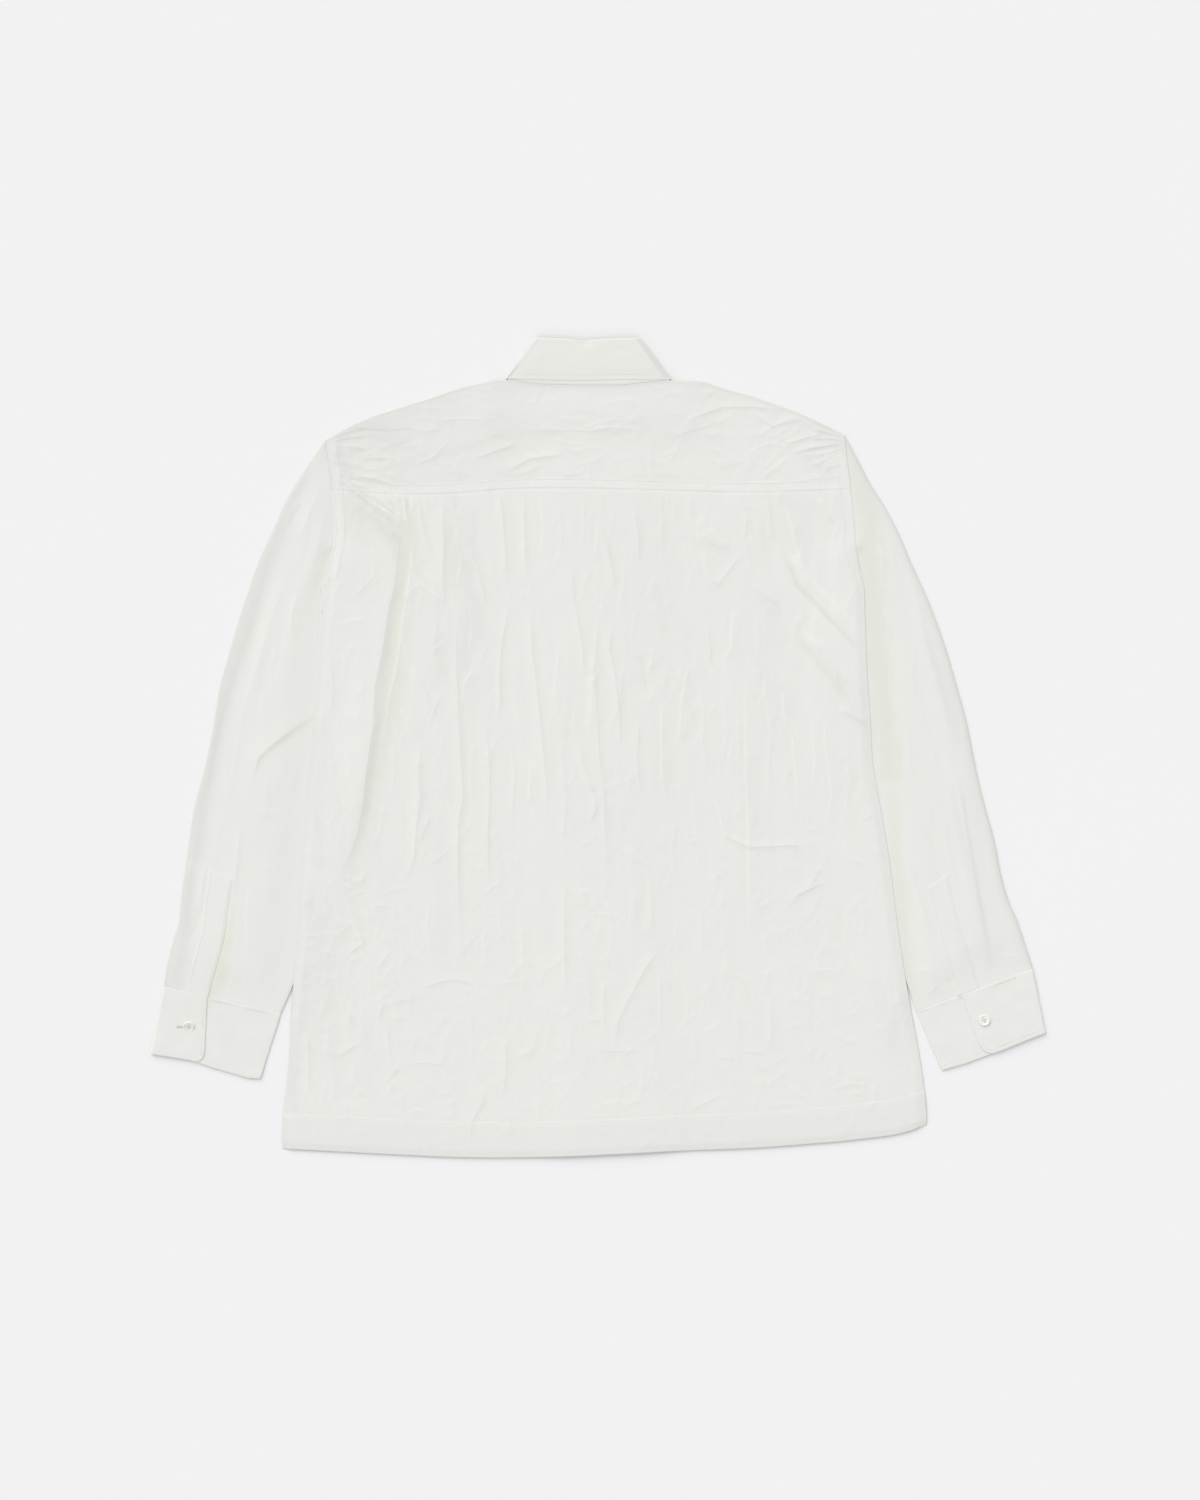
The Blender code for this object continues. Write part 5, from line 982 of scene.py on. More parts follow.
# %% The yoke
def build_yoke():
    across = np.unique(np.concatenate([np.linspace(0, 1, 241), [
        (NECK_LEFT + 272.5) / 519, (NECK_RIGHT + 272.5) / 519]]))
    back = [(-1, s, 1.0) for s in np.linspace(1, 0, 58)[:-1]]
    over = [(-1, 0.0, k) for k in (1.0, 0.7, 0.4, 0.15, 0.0)] + [(1, 0.0, k) for k in (0.15, 0.4, 0.7, 1.0)]
    front = [(1, s, 1.0) for s in np.linspace(0, 1, 20)[1:]]
    layer, share, radii = (np.array(c, float)[:, None] for c in zip(*(back + over + front)))
    x_top = x_top_at(across)[None, :]
    top = read(TOP_LINE, x_top)
    y_front = read(FRONT_SEAM, x_top)
    y_back = smooth(YOKE_SEAM, across)[None, :]
    y_seam = np.where(layer > 0, y_front, y_back)
    flap = TABLE_LAYER + 0.1 + 1.3 * over_points(x_top, top, 0)
    level = back_base(x_top, top)
    radius = (level - flap) / 2
    y = top - radii * radius - share * (top - y_seam + 0.3 * (layer < 0) - 0.12 * (layer > 0) - radius)
    in_neck = (x_top > NECK_LEFT + 0.1) & (x_top < NECK_RIGHT - 0.1)
    y = np.where(in_neck & (layer > 0), top, y)
    x = mix(back_side(y, LEFT), back_side(y, RIGHT), across[None, :])
    z = body_z(x, y)
    rounding = np.sqrt(1 - (1 - radii) ** 2)
    z = np.where((radii < 1) & ~in_neck, (level + flap) / 2 - layer * radius * rounding, z)
    z = np.where((layer > 0) & (radii == 1), TABLE_LAYER + 0.1 + 1.3 * over_points(x, y, 0)
                 + 0.2 * np.abs(hills(x / 12, y / 12, 31)), z)
    z = np.where((layer < 0) & (share == 1), z - 0.22, z)     # the lower edge comes down on the back
    sunk = in_neck & ((layer > 0) | (radii < 1))          # the neck's edge goes in under the stand
    deep = np.where(layer > 0, 1, 1 - radii)
    reach = 1.9 * ease((x_top - NECK_LEFT) / 1.2) * ease((NECK_RIGHT - x_top) / 1.2)
    y = np.where(sunk, top - 0.5 + reach * deep, y)
    z = np.where(sunk, level + 0.2 - 0.6 * deep, z)
    shown = (layer < 0) * 1.0
    painted_shade_and_bands = [painted_shade_and_band * shown for painted_shade_and_band in body_painted_shade_and_bands(x, y, z)]
    middle = (across[:-1] + across[1:]) / 2
    neck_cells = (x_top_at(middle) > NECK_LEFT) & (x_top_at(middle) < NECK_RIGHT)
    front_rows = (layer[:-1, 0] > 0) | (layer[1:, 0] > 0)
    run = np.where(layer < 0, y, 2 * top - y)
    piece = lay("yoke_cloth", x, y, z, x, run, painted_shade_and_bands,
                [field * shown for field in crease_chart(YOKE_CREASES + BACK_CREASES + SMALL, x, y)],
                leave=front_rows[:, None] & neck_cells[None, :])
    face_outwards(piece)
    return piece


pieces["yoke"] = build_yoke()
report(pieces["yoke"])

# %% [markdown]
# ## The fronts
# They lie under the back, so only the underside and the rim show. Each goes from its side past
# the neck to the buttoned edge. The left front lies on the row of buttons and the right front on
# top of it. They are finished plainly: soft creases, a doubled edge and a hem.

# %% The two fronts
def front_edge(share):
    x = x_top_at(share)
    neck = (x >= NECK_LEFT) & (x <= NECK_RIGHT)
    return np.where(neck, read(NECKLINE, x), read(FRONT_SEAM, x) - 0.12)


def front_z(x, y, strip):
    lifts = np.maximum.reduce([1.3 * over_points(x, y, 0), 1.95 * over_sleeves(x, y, 0),
                               strip * near_centre(x, y, 28, 30)])
    side = np.minimum(x - back_side(y, LEFT), back_side(y, RIGHT) - x)
    calm = ease((side - 1) / 10) * (1 - 0.8 * near_centre(x, y, 34, 10)) * (1 - over_sleeves(x, y, 6))
    return TABLE_LAYER + lifts + calm * np.clip(relief(FRONT_SMALL, x, y)[0] + 0.5 * crinkle(x, y, 51), 0,
            0.9)


FRONT_SMALL = small_creases(170, (-300, 310, -390, 270), lean_of, lambda x, y: 22, 52)


def build_front(name, neck, end, strip):
    outer = 0.0 if neck == NECK_LEFT else 1.0
    across = np.linspace(outer, end, 92)
    down = np.linspace(0, 1, 190)
    share = np.tile(across, (len(down), 1))
    y = mix(front_edge(across)[None, :], smooth(HEM, across)[None, :] + 3.5, down[:, None])
    left, right = back_side(y, LEFT) + 0.7, back_side(y, RIGHT) - 0.7
    x = mix(left, right, share)
    z = front_z(x, y, strip)
    _, turned = seam_bands(x, y)
    # painted shade: the colour darkens and yellows where the cloth stands above its surroundings, the hollows
    # of its visible underside; the second channel is the paler turned hem
    piece = lay(name, x, y, z, x, y, (np.clip((z - soften(z, 4)) / 0.5, 0, 1), 0.3 * turned))
    face_outwards(piece, up=False)
    return piece


pieces["front_left"] = build_front("front_left_cloth", NECK_LEFT, CENTRE + OVERLAP, STRIP)
pieces["front_right"] = build_front("front_right_cloth", NECK_RIGHT, CENTRE - OVERLAP, CLOSED)
for key in ("front_left", "front_right"):
    report(pieces[key])

# %% [markdown]
# ## The sleeves
# A sleeve is a tube, pressed flat with its two folded edges at the inside and the outside of the
# arm. A patch between four edges gives its outline: the armhole, the cuff's seam, and the inner
# and outer edges. Going once round the tube, the points run over the upper layer, round the outer
# fold, back along the lower layer and round the inner fold. The sleeves are smoother than the
# back, with long soft ridges, one sharp pleat and a crease at the elbow.

# %% A pressed sleeve
class Sleeve:
    def __init__(self, side, outer_edge, cuff_seam, cuff_edge, closure, creases, tints, seed):
        self.side, self.away = side, (-1 if side == LEFT else 1)
        self.outer_edge, self.cuff_seam, self.cuff_edge = outer_edge, cuff_seam, cuff_edge
        self.closure, self.creases, self.tints, self.seed = closure, creases, tints, seed
        self.y_pit, self.y_shoulder = SLEEVE_INNER[0][0], outer_edge[0][0]

    def armhole(self, q):
        y = mix(self.y_pit, self.y_shoulder, q)
        under = self.inner(0)[0] - smooth(ARMHOLE, self.y_pit, self.side)
        return smooth(ARMHOLE, y, self.side) - self.away * 0.25 + under * np.exp(-(q / 0.05) ** 2), y

    def seam(self, q):
        return read(self.cuff_seam, q), read(self.cuff_seam, q, 2)

    def inner(self, v):
        y = mix(self.y_pit, self.seam(0)[1], v)
        x, body = read(SLEEVE_INNER, y, self.side), back_side(y, self.side)
        covered = self.away * np.minimum(self.away * x, self.away * body - 10)
        return np.where(y > 110, covered, x), y

    def outer(self, v):
        y = mix(self.y_shoulder, self.seam(1)[1], v)
        return smooth(self.outer_edge, y), y

    def flat(self, q, v):
        start, end, inner, outer = self.armhole(q), self.seam(q), self.inner(v), self.outer(v)
        corners = [[self.inner(0), self.inner(1)], [self.outer(0), self.outer(1)]]
        point = []
        for axis in (0, 1):
            ruled = mix(inner[axis], outer[axis], q) + mix(start[axis], end[axis], v)
            bilinear = mix(mix(corners[0][0][axis], corners[0][1][axis], v),
                           mix(corners[1][0][axis], corners[1][1][axis], v), q)
            point.append(ruled - bilinear)
        return point

    def over(self, q, v):
        """1 on the part beyond the slit, which lies over the rest near the cuff."""
        return ease((q - self.closure.placket_in) * SLEEVE_ROUND / 0.8 + 0.5) * ease((v - 0.74) / 0.16)

    def level(self, q, v):
        """The middle of the upper layer."""
        x, y = self.flat(q, v)
        puff = 2.1 * np.clip(4 * q * (1 - q), 0, 1) ** 0.6
        body_edge = back_side(y, self.side)
        beyond = self.away * (x - body_edge)
        cover = ease((210 - y) / 14) * (1 - ease((beyond - 1) / (16 + 16 * ease((196 - y) / 70))))
        calm = ease(q / 0.07) * ease((1 - q) / 0.06) * ease((1 - v) / 0.05) * ease(v / 0.04)
        along_arm = x - self.away * 0.22 * (200 - y)
        fine = (0.3 * facets(along_arm, y, 15, 110, self.seed)
                + 0.16 * facets(along_arm, y, 8, 42, self.seed + 1)
                + 0.3 * hills(x / 30, y / 55, self.seed + 5))
        gathers = 0.25 * np.sin(q * 46 + 2 * hills(q * 5, v * 6, self.seed + 7)) * ease((v - 0.93) / 0.05)
        creases = relief(self.creases, x, y)[0] * (0.95 if self.side == LEFT else 1.15)
        ends = ease((1 - v) / 0.09)
        free = SLEEVE_LEVEL - 0.3 * (1 - ends) + puff * ends + RELIEF * (creases + fine + gathers) * calm
        pressed = mix(free, SLEEVE_LEVEL, cover)
        hole_y = np.maximum(y, self.y_pit)
        hole_x = smooth(ARMHOLE, hole_y, self.side)
        at_seam = ease(1 - beyond / 16) * ease((y - 192) / 14)
        groove = 0.3 * np.exp(-(beyond / 1.6) ** 2) * (y > 196)
        end = (0.3 + 0.3 * ease((v - 0.94) / 0.06)) * self.over(q, v)
        return mix(pressed, back_base(hole_x, hole_y), at_seam) - groove + end * (1 - cover)

    def upper(self, q, v):
        """A place on the upper layer, in x, y and z."""
        x, y = self.flat(q, v)
        return x, y, self.level(q, v)


# %% Building a sleeve
def build_sleeve(name, sleeve):
    pin = sleeve.closure.placket_in
    upper = np.unique(np.concatenate([np.linspace(0.03, 0.97, 62), [pin - 0.006, pin + 0.003]]))
    lower = np.linspace(0.97, 0.03, 34)
    folds = (0.0, 0.2, 0.5, 0.8)
    columns = [(1, 0, k) for k in folds] + [(1, q, 2) for q in upper] + [(1, 1, k) for k in folds[::-1]]
    columns += [(-1, 1, k) for k in folds[1:]] + [(-1, q, 2) for q in lower] + [(-1, 0, k)
            for k in folds[::-1]]
    layer, base, k = (np.array(c, float)[None, :] for c in zip(*columns))
    rows = np.concatenate([np.linspace(0, 0.9, 170), np.linspace(0.9, 1, 34)[1:]])
    v = rows[:, None] + 0 * base
    inner, outer = sleeve.flat(0 * rows, rows), sleeve.flat(0 * rows + 1, rows)
    width = np.hypot(inner[0] - outer[0], inner[1] - outer[1])[:, None]
    folded = k < 1.5
    tip = base + 0 * v
    radius = (sleeve.level(tip, v) - TABLE_LAYER) / 2
    q = np.where(folded, np.abs(base - k * np.minimum(radius, 1.6) / width), base)
    level = sleeve.level(q, v)
    x, y = sleeve.flat(q, v)
    bulge = np.sqrt(1 - (1 - np.clip(k, 0, 1)) ** 2)
    z = np.where(folded, TABLE_LAYER + radius * (1 + layer * bulge), np.where(layer > 0, level, TABLE_LAYER))
    tails = []
    for t, sink in ((1.4, 0.6), (2.8, 1.0)):         # the end goes in between the cuff's layers
        seam_x, seam_y = sleeve.seam(q[-1])
        way = np.array([read(sleeve.cuff_edge, q[-1], c) for c in (1, 2)]) - np.array([seam_x, seam_y])
        way /= np.hypot(*way)
        over = sleeve.over(q[-1], 1.0)
        inside = np.where(layer[0] > 0, 0.9 + 0.85 * over, 0.9)
        tails.append((x[-1] + way[0] * t, y[-1] + way[1] * t, mix(z[-1], inside, sink)))
    x, y, z = (np.concatenate([field, np.stack([tail[c] for tail in tails])])
            for c, field in enumerate((x, y, z)))
    tuck = (layer[0] > 0) & (k[0] > 1.5)             # the top row goes in under the body's edge
    first = (x[0] - sleeve.away * 1.7 * tuck, y[0], z[0] - 0.45 * tuck)
    x, y, z = (np.concatenate([[new], old]) for new, old in zip(first, (x, y, z)))
    around = np.cumsum(np.concatenate([[0], np.hypot(np.diff(x[100]), np.diff(z[100]))]))
    along = np.concatenate([[-0.004], rows, [1.003, 1.006]]) * SLEEVE_LONG
    u, w = np.tile(around, (len(along), 1)), np.tile(along[:, None], (1, len(around)))
    shown = 1.0 * tuck[None, :]
    # painted shade in the hollows of the upper layer
    fold_shade = np.clip((soften(z, 3) - z) / 0.55, 0, 1) * ease(np.minimum(base, 1 - base) / 0.12) * shown
    painted_warm, painted_grey = strokes(sleeve.tints, x, y)
    # painted shade: a greyer band along the outer folded edge of the upper layer, wider on the left sleeve, a
    # darker line right on that edge and a little along the inner folded edge
    wide, strong = (13, 1.3) if sleeve.side == LEFT else (7, 0.8)
    rim = ((strong * np.exp(-((1 - base) * SLEEVE_ROUND / wide) ** 2)
            + 1.2 * np.exp(-((1 - base) * SLEEVE_ROUND / 1.8) ** 2)) * (layer > 0)
           + 0.3 * np.exp(-(base * SLEEVE_ROUND / 5) ** 2))
    painted_shade_and_bands = (fold_shade, 0 * x, painted_warm * (layer > 0), painted_grey * (layer > 0) + rim)
    chart = [field * shown for field in crease_chart(sleeve.creases, x, y)]
    piece = lay(name, x, y, z, u, w, painted_shade_and_bands, chart)
    face_outwards(piece)
    return piece


sleeve_left = Sleeve(LEFT, SLEEVE_OUTER_LEFT, CUFF_SEAM_LEFT, CUFF_EDGE_LEFT, CUFF_LEFT,
                     LEFT_SLEEVE_CREASES, LEFT_PAINTED_SHADING, 61)
sleeve_right = Sleeve(RIGHT, SLEEVE_OUTER_RIGHT, CUFF_SEAM_RIGHT, CUFF_EDGE_RIGHT, CUFF_RIGHT,
                      RIGHT_SLEEVE_CREASES, RIGHT_PAINTED_SHADING, 71)
for suffix, sleeve in (("left", sleeve_left), ("right", sleeve_right)):
    pieces["sleeve_" + suffix] = build_sleeve("sleeve_" + suffix + "_cloth", sleeve)
    report(pieces["sleeve_" + suffix])

# %% [markdown]
# ## Plackets and cuffs
# The slit of each sleeve is bound with a strip. The cuff is a stiffer band of two layers with
# interlining. It goes once round the wrist, and its buttoned end lies on its other end. Its path
# is worked out once round: over the top to the outer fold, back below, and round the inner fold
# to the hidden end. The corners of the buttoned end are rounded.

# %% Plackets
def build_placket(name, sleeve):
    q = np.linspace(sleeve.closure.placket_in, sleeve.closure.placket_out, 14)[None, :]
    v = np.linspace(0.765, 1.0, 70)[:, None]
    q, v = q + 0 * v, v + 0 * q
    x, y, z = sleeve.upper(q, v)
    z = z + 0.16
    painted_warm, painted_grey = strokes(sleeve.tints, x, y)
    # the strokes' painted glow and painted shade, at six tenths of their strength
    piece = lay(name, x, y, z, q * SLEEVE_ROUND, v * SLEEVE_LONG, (0 * x, 0 * x, painted_warm * 0.6, painted_grey * 0.6))
    face_outwards(piece, up=True)
    wall(piece, 0.3)
    return piece


for suffix, sleeve in (("left", sleeve_left), ("right", sleeve_right)):
    pieces["placket_" + suffix] = build_placket("sleeve_placket_" + suffix + "_cloth", sleeve)
    report(pieces["placket_" + suffix])

# %% Cuffs
CUFF_WALL = 0.6
CUFF_OVER, CUFF_UNDER, CUFF_DOWN = 2.2, 1.35, 0.45   # the middles of its three layers


def cuff_lift(depth):
    """The cuff's lower edge stands off the table a little."""
    return 0.5 * ease((depth - 22) / 44)


def cuff_path(closure):
    """Stations round the cuff: share of the width, height, and whether the layer shows."""
    stations = [(q, CUFF_OVER) for q in np.linspace(closure.over_end, 0.985, 30)]
    for turn in np.linspace(60, -60, 5):
        a = math.radians(turn)
        stations.append((0.985 + 0.015 * math.cos(a), (CUFF_OVER + CUFF_DOWN) / 2
                         + (CUFF_OVER - CUFF_DOWN) / 2 * math.sin(a)))
    stations += [(q, CUFF_DOWN) for q in np.linspace(0.985, 0.015, 40)]
    for turn in np.linspace(-60, 60, 5):
        a = math.radians(turn)
        stations.append((0.015 - 0.015 * math.cos(a), (CUFF_UNDER + CUFF_DOWN) / 2
                         + (CUFF_UNDER - CUFF_DOWN) / 2 * math.sin(a)))
    stations += [(q, CUFF_UNDER) for q in np.linspace(0.015, closure.under_end, 34)]
    return stations


def build_cuff(name, seam, edge, closure, tints, seed):
    q, level = (np.array(c)[None, :] for c in zip(*cuff_path(closure)))
    h = np.linspace(0, 1, 34)[:, None]
    from_end = (q - closure.over_end) * SLEEVE_ROUND
    on_top = (level == CUFF_OVER)
    corner = 12 - np.sqrt(144 - np.clip(12 - from_end, 0, 12) ** 2)
    reach = 1 - np.where(on_top, corner, 0) / CUFF_DEPTH
    h = h * reach + 0 * q
    x = mix(read(seam, q), read(edge, q), h)
    y = mix(read(seam, q, 2), read(edge, q, 2), h)
    depth = h * CUFF_DEPTH
    wave = (0.35 * hills(x / 14, y / 11, seed) + 0.6 * facets(x, y, 13, 24, seed + 2)
            + 0.1 * np.sin(q * 70 + 2 * hills(x / 9, y / 9, seed + 1)) * np.exp(-depth / 7))
    pull = 0.28 * np.sin((y - closure.button_y) / 1.35) * np.exp(
        -((y - closure.button_y) / 4.5) ** 2 - ((x - closure.button_x) / 16) ** 2)
    hidden = level == CUFF_DOWN
    z = level + np.where(hidden, 0, RELIEF * (wave + pull * on_top)
                         * ease(depth / 4) * ease((CUFF_DEPTH - depth) / 4)) + 0 * x
    z = z + cuff_lift(depth)
    # painted shade in the hollows of the cuff's waves and round the button
    fold_shade = 0.3 * np.clip(-(wave + pull) / 0.35, 0, 1) * ~hidden
    around = np.cumsum(np.concatenate([[0], np.hypot(np.diff(x[10]), np.diff(z[10]))]))
    painted_warm, painted_grey = strokes(tints, x, y)
    # a painted highlight along the cuff's lower edge
    rim = -0.4 * np.exp(-((CUFF_DEPTH - depth) / 1.5) ** 2)
    # painted shade: the left cuff is a little greyer all over
    piece = lay(name, x, y, z, np.tile(around, (34, 1)), depth,
                (fold_shade + 0 * x, 0.1 + 0 * x, painted_warm * ~hidden, (painted_grey + 0.15 * (x < 0)) * ~hidden + rim))
    face_outwards(piece)
    wall(piece, CUFF_WALL)
    return piece


for suffix, seam, edge, closure, tints, seed in (
        ("left", CUFF_SEAM_LEFT, CUFF_EDGE_LEFT, CUFF_LEFT, LEFT_PAINTED_SHADING, 81),
        ("right", CUFF_SEAM_RIGHT, CUFF_EDGE_RIGHT, CUFF_RIGHT, RIGHT_PAINTED_SHADING, 86)):
    pieces["cuff_" + suffix] = build_cuff("cuff_" + suffix + "_cloth", seam, edge, closure, tints, seed)
    report(pieces["cuff_" + suffix])

# %% [markdown]
# ## The collar
# The stand is sewn to the neck and the fall is folded over it along the roll line. Seen from the
# back, the fall hides the stand but for a thin line above the seam. Both are swept along the neck
# from one front point round the back to the other, through the stations below.

# %% Stations of the collar
STAND = (       # x, y, z of the lower edge, and x, y, z at the roll line
    (5, 287.0, 2.7, 4, 308, 2.7), (-14, 286.4, 2.7, -18, 312, 2.7), (-36, 290, 2.4, -33, 333, 2.4),
    (-57, 297, 2.1, -44, 357, 2.1), (-73, 307, 2.1, -52, 380, 2.1), (-83, 318, 2.1, -55.4, 393, 2.1),
    (-90.0, 334, 2.1, -57, 398.4, 2.1), (-89.8, 366.6, 2.1, -58.6, 402.6, 2.1),
    (-90.9, 368.9, 3.6, -60.2, 405.2, 3.35), (-89.0, 368.7, 5.0, -57.5, 406.3, 4.6),
    (-74, 365.2, 5.1, -50, 406.6, 4.6), (-58, 362.7, 5.1, -38, 406.4, 4.6),
    (-18, 361.7, 5.1, -13, 404.4, 4.6), (22, 361.7, 5.1, 10, 405.6, 4.6),
    (46, 364.2, 5.1, 24, 406.6, 4.6), (58, 365.4, 5.1, 32, 406.6, 4.6),
    (70.0, 368.3, 5.0, 38.0, 406.3, 4.6), (71.9, 368.5, 3.6, 40.7, 405.2, 3.35),
    (70.8, 366.2, 2.1, 39.3, 402.6, 2.1), (71.0, 333, 2.1, 37.5, 398.4, 2.1),
    (64, 318, 2.1, 36, 393, 2.1), (54, 307, 2.1, 32.5, 380, 2.1), (38, 297, 2.4, 24.5, 357, 2.3),
    (29, 294, 2.9, 18, 341, 2.8), (19, 290.4, 3.3, 12, 329, 3.3), (-4, 286.4, 3.35, 0, 312, 3.35),
    (-22, 287, 3.35, -20, 310, 3.35))
FALL = (        # x, y at the roll line, z inside and past the roll, x, y, z of the free edge
    (-9.5, 313.4, 2.7, 0.6, -64, 250, 0.6), (-19.5, 318.5, 2.7, 0.6, -67.5, 270, 0.6),
    (-31.5, 334.2, 2.4, 0.6, -72.5, 293, 0.6), (-42.3, 357.7, 2.1, 0.6, -79.5, 325, 0.6),
    (-50.2, 380.5, 2.1, 0.6, -85.5, 349, 0.6), (-54.4, 396, 2.1, 0.6, -88.5, 362.0, 0.6),
    (-57.8, 406.6, 2.3, 0.6, -89.4, 366.8, 0.6), (-60.2, 408.4, 2.6, 1.5, -91.2, 367.3, 1.5),
    (-61.0, 409.0, 3.5, 3.5, -92.0, 367.4, 3.5), (-60.8, 409.1, 4.2, 5.3, -91.8, 367.4, 5.3),
    (-59.6, 409.0, 4.4, 6.1, -90.4, 367.4, 6.2), (-57.2, 408.8, 4.6, 6.5, -87.6, 367.3, 6.7),
    (-50, 408.4, 4.6, 6.5, -74, 366.8, 6.9),
    (-34, 408.0, 4.6, 6.5, -52, 366.6, 6.9), (-13, 406.2, 4.6, 6.5, -16, 366.2, 6.9),
    (10, 407.8, 4.6, 6.5, 20, 366.4, 6.9), (30, 408.4, 4.6, 6.5, 54, 366.7, 6.9),
    (37.7, 408.8, 4.6, 6.5, 68.6, 367.2, 6.7), (40.1, 409.0, 4.4, 6.1, 71.4, 367.3, 6.2),
    (41.3, 409.1, 4.2, 5.3, 72.8, 367.3, 5.3), (41.5, 409.0, 3.5, 3.5, 73.0, 367.3, 3.5),
    (40.7, 408.4, 2.6, 1.5, 72.2, 367.2, 1.5), (38.3, 406.6, 2.3, 0.6, 70.4, 366.4, 0.6), (35.0, 396, 2.1,
     0.6, 69.5, 362, 0.6),
    (30.7, 380.5, 2.1, 0.6, 66.5, 349, 0.6), (22.8, 357.7, 2.3, 0.6, 60.5, 325, 0.6),
    (10.2, 332.5, 3.1, 0.6, 53.5, 293, 0.6), (2.2, 320.0, 3.2, 0.6, 49, 270, 0.6),
    (-4.5, 313.4, 3.2, 0.6, 45, 250, 0.6))


def along_table(rows, count):
    """Every column of a table of stations, read at even steps along the collar."""
    rows = np.array(rows, float)
    way = np.concatenate([[0], np.cumsum(np.linalg.norm(np.diff(rows[:, :2], axis=0), axis=1)
                                         + np.abs(np.diff(rows[:, 2])) + 0.6)])
    at = np.unique(np.concatenate([np.linspace(0, way[-1], count), way]))
    return at, [np.interp(at, way, rows[:, c]) for c in range(rows.shape[1])]


print("collar stations:", len(STAND), len(FALL))

# %% Stand and fall
def build_stand():
    at, (xl, yl, zl, xr, yr, zr) = along_table(STAND, 150)
    t = np.linspace(0, 1, 12)[:, None]
    x, y, z = mix(xl, xr, t), mix(yl, yr, t), mix(np.minimum(zl, 5.05), zr, t)
    piece = lay("collar_stand_cloth", x, y, z, at + 0 * t, 40 * t + 0 * at, (0 * x, 0.4 + 0 * x))
    face_outwards(piece)
    wall(piece, 0.5)
    return piece


def fall_height(x, y, k, z_leaf, z_edge, back):
    """The middle of the outer leaf, at a share k of the way from the roll line to its edge."""
    soft = ease(k / 0.2) * ease((1 - k) / 0.12)
    wave = RELIEF * (0.3 * hills(x / 22, y / 9, 91) + 0.3 * crinkle(y, x, 95))
    return mix(z_leaf, z_edge - 1.5 * back, k) + (0.35 * math.sin(math.pi * k) + wave * soft) * back


def build_fall():
    at, (x_roll, y_roll, z_in, z_leaf, x_edge, y_edge, z_edge) = along_table(FALL, 230)
    dx, dy = x_edge - x_roll, y_edge - y_roll
    start = 2.2 / np.hypot(dx, dy)
    back = ease((z_leaf - 5.4) / 1.0)                     # the part across the back of the neck
    dimple = 1.9 * np.exp(-((x_roll + 14) / 8) ** 2) * back
    x_rows, y_rows, z_rows, depth = [], [], [], []
    for k in (0.0, 0.12, 0.35, 0.65, 1.0):
        t = start * k
        rise = math.sqrt(1 - (1 - k) ** 2)
        x_rows.append(x_roll + dx * t)
        y_rows.append(y_roll + dy * t - dimple * (1 - k) * 0.4)
        z_rows.append(mix(z_in, z_leaf, rise) - 0.6 * dimple * rise)
        depth.append(0 * at + 2.2 * k)
    for k in np.linspace(0, 1, 30)[1:]:
        t = mix(start, 1, k)
        x, y = x_roll + dx * t, y_roll + dy * t
        z = fall_height(x, y, k, z_leaf, z_edge, back)
        z_rows.append(z - 0.6 * dimple * np.exp(-(k * 40 / 4.5) ** 2))
        x_rows.append(x)
        y_rows.append(y + 0.4 * np.sin(x / 17) * k * back)
        depth.append(2.2 + 38 * k + 0 * at)
    x, y, z, d = (np.stack(r) for r in (x_rows, y_rows, z_rows, depth))
    # painted shade in the collar's hollows and in its dimple
    fold_shade = (np.clip((soften(z, 3) - z) / 0.5, 0, 1)
            + 0.9 * np.exp(-((x + 14) / 5) ** 2 - ((d - 5) / 4) ** 2)) * back
    corner = at[(z_leaf < 6.4) & (z_leaf > 0.7)]
    from_corner = np.abs(at[:, None] - corner).min(1) + 0 * d
    # painted shade: greyer along the roll line and at the corners of the collar
    painted_grey = 1.8 * np.exp(-(d / 2) ** 2) + 3.6 * np.exp(-(from_corner / 1.6) ** 2) * (d < 38)
    piece = lay("collar_fall_cloth", x, y, z, at + 0 * d, d, (fold_shade, 0.1 + 0 * d, 0.2 + 0 * d, painted_grey))
    face_outwards(piece)
    wall(piece, 0.35)
    return piece


pieces["stand"], pieces["fall"] = build_stand(), build_fall()
report(pieces["stand"])
report(pieces["fall"])

# %% [markdown]
# ## Buttons
# Small four-holed buttons of shell with a raised rim. One is turned from its profile, drilled with
# four holes, and copied to each place. Two crossing stitches of thread hold it. The seven front
# buttons and the collar's button lie face down between the left front and the table.

# %% One button
BUTTON_WIDE, BUTTON_DEEP = 11.5, 2.0
HOLE_OUT, HOLE_WIDE = 1.5, 1.3       # a hole's distance from the middle, and its width


def turned(name, profile, steps):
    """Spins a profile of (radius, height) round the z axis."""
    mesh = bmesh.new()
    points = [mesh.verts.new((r * MM, 0, h * MM)) for r, h in profile]
    edges = [mesh.edges.new(pair) for pair in zip(points, points[1:])]
    bmesh.ops.spin(mesh, geom=points + edges, axis=(0, 0, 1), cent=(0, 0, 0),
                   angle=2 * math.pi, steps=steps, use_merge=True)
    bmesh.ops.remove_doubles(mesh, verts=mesh.verts, dist=1e-7)
    bmesh.ops.recalc_face_normals(mesh, faces=mesh.faces)
    data = bpy.data.meshes.new(name)
    mesh.to_mesh(data)
    mesh.free()
    piece = bpy.data.objects.new(name, data)
    bpy.context.scene.collection.objects.link(piece)
    return piece


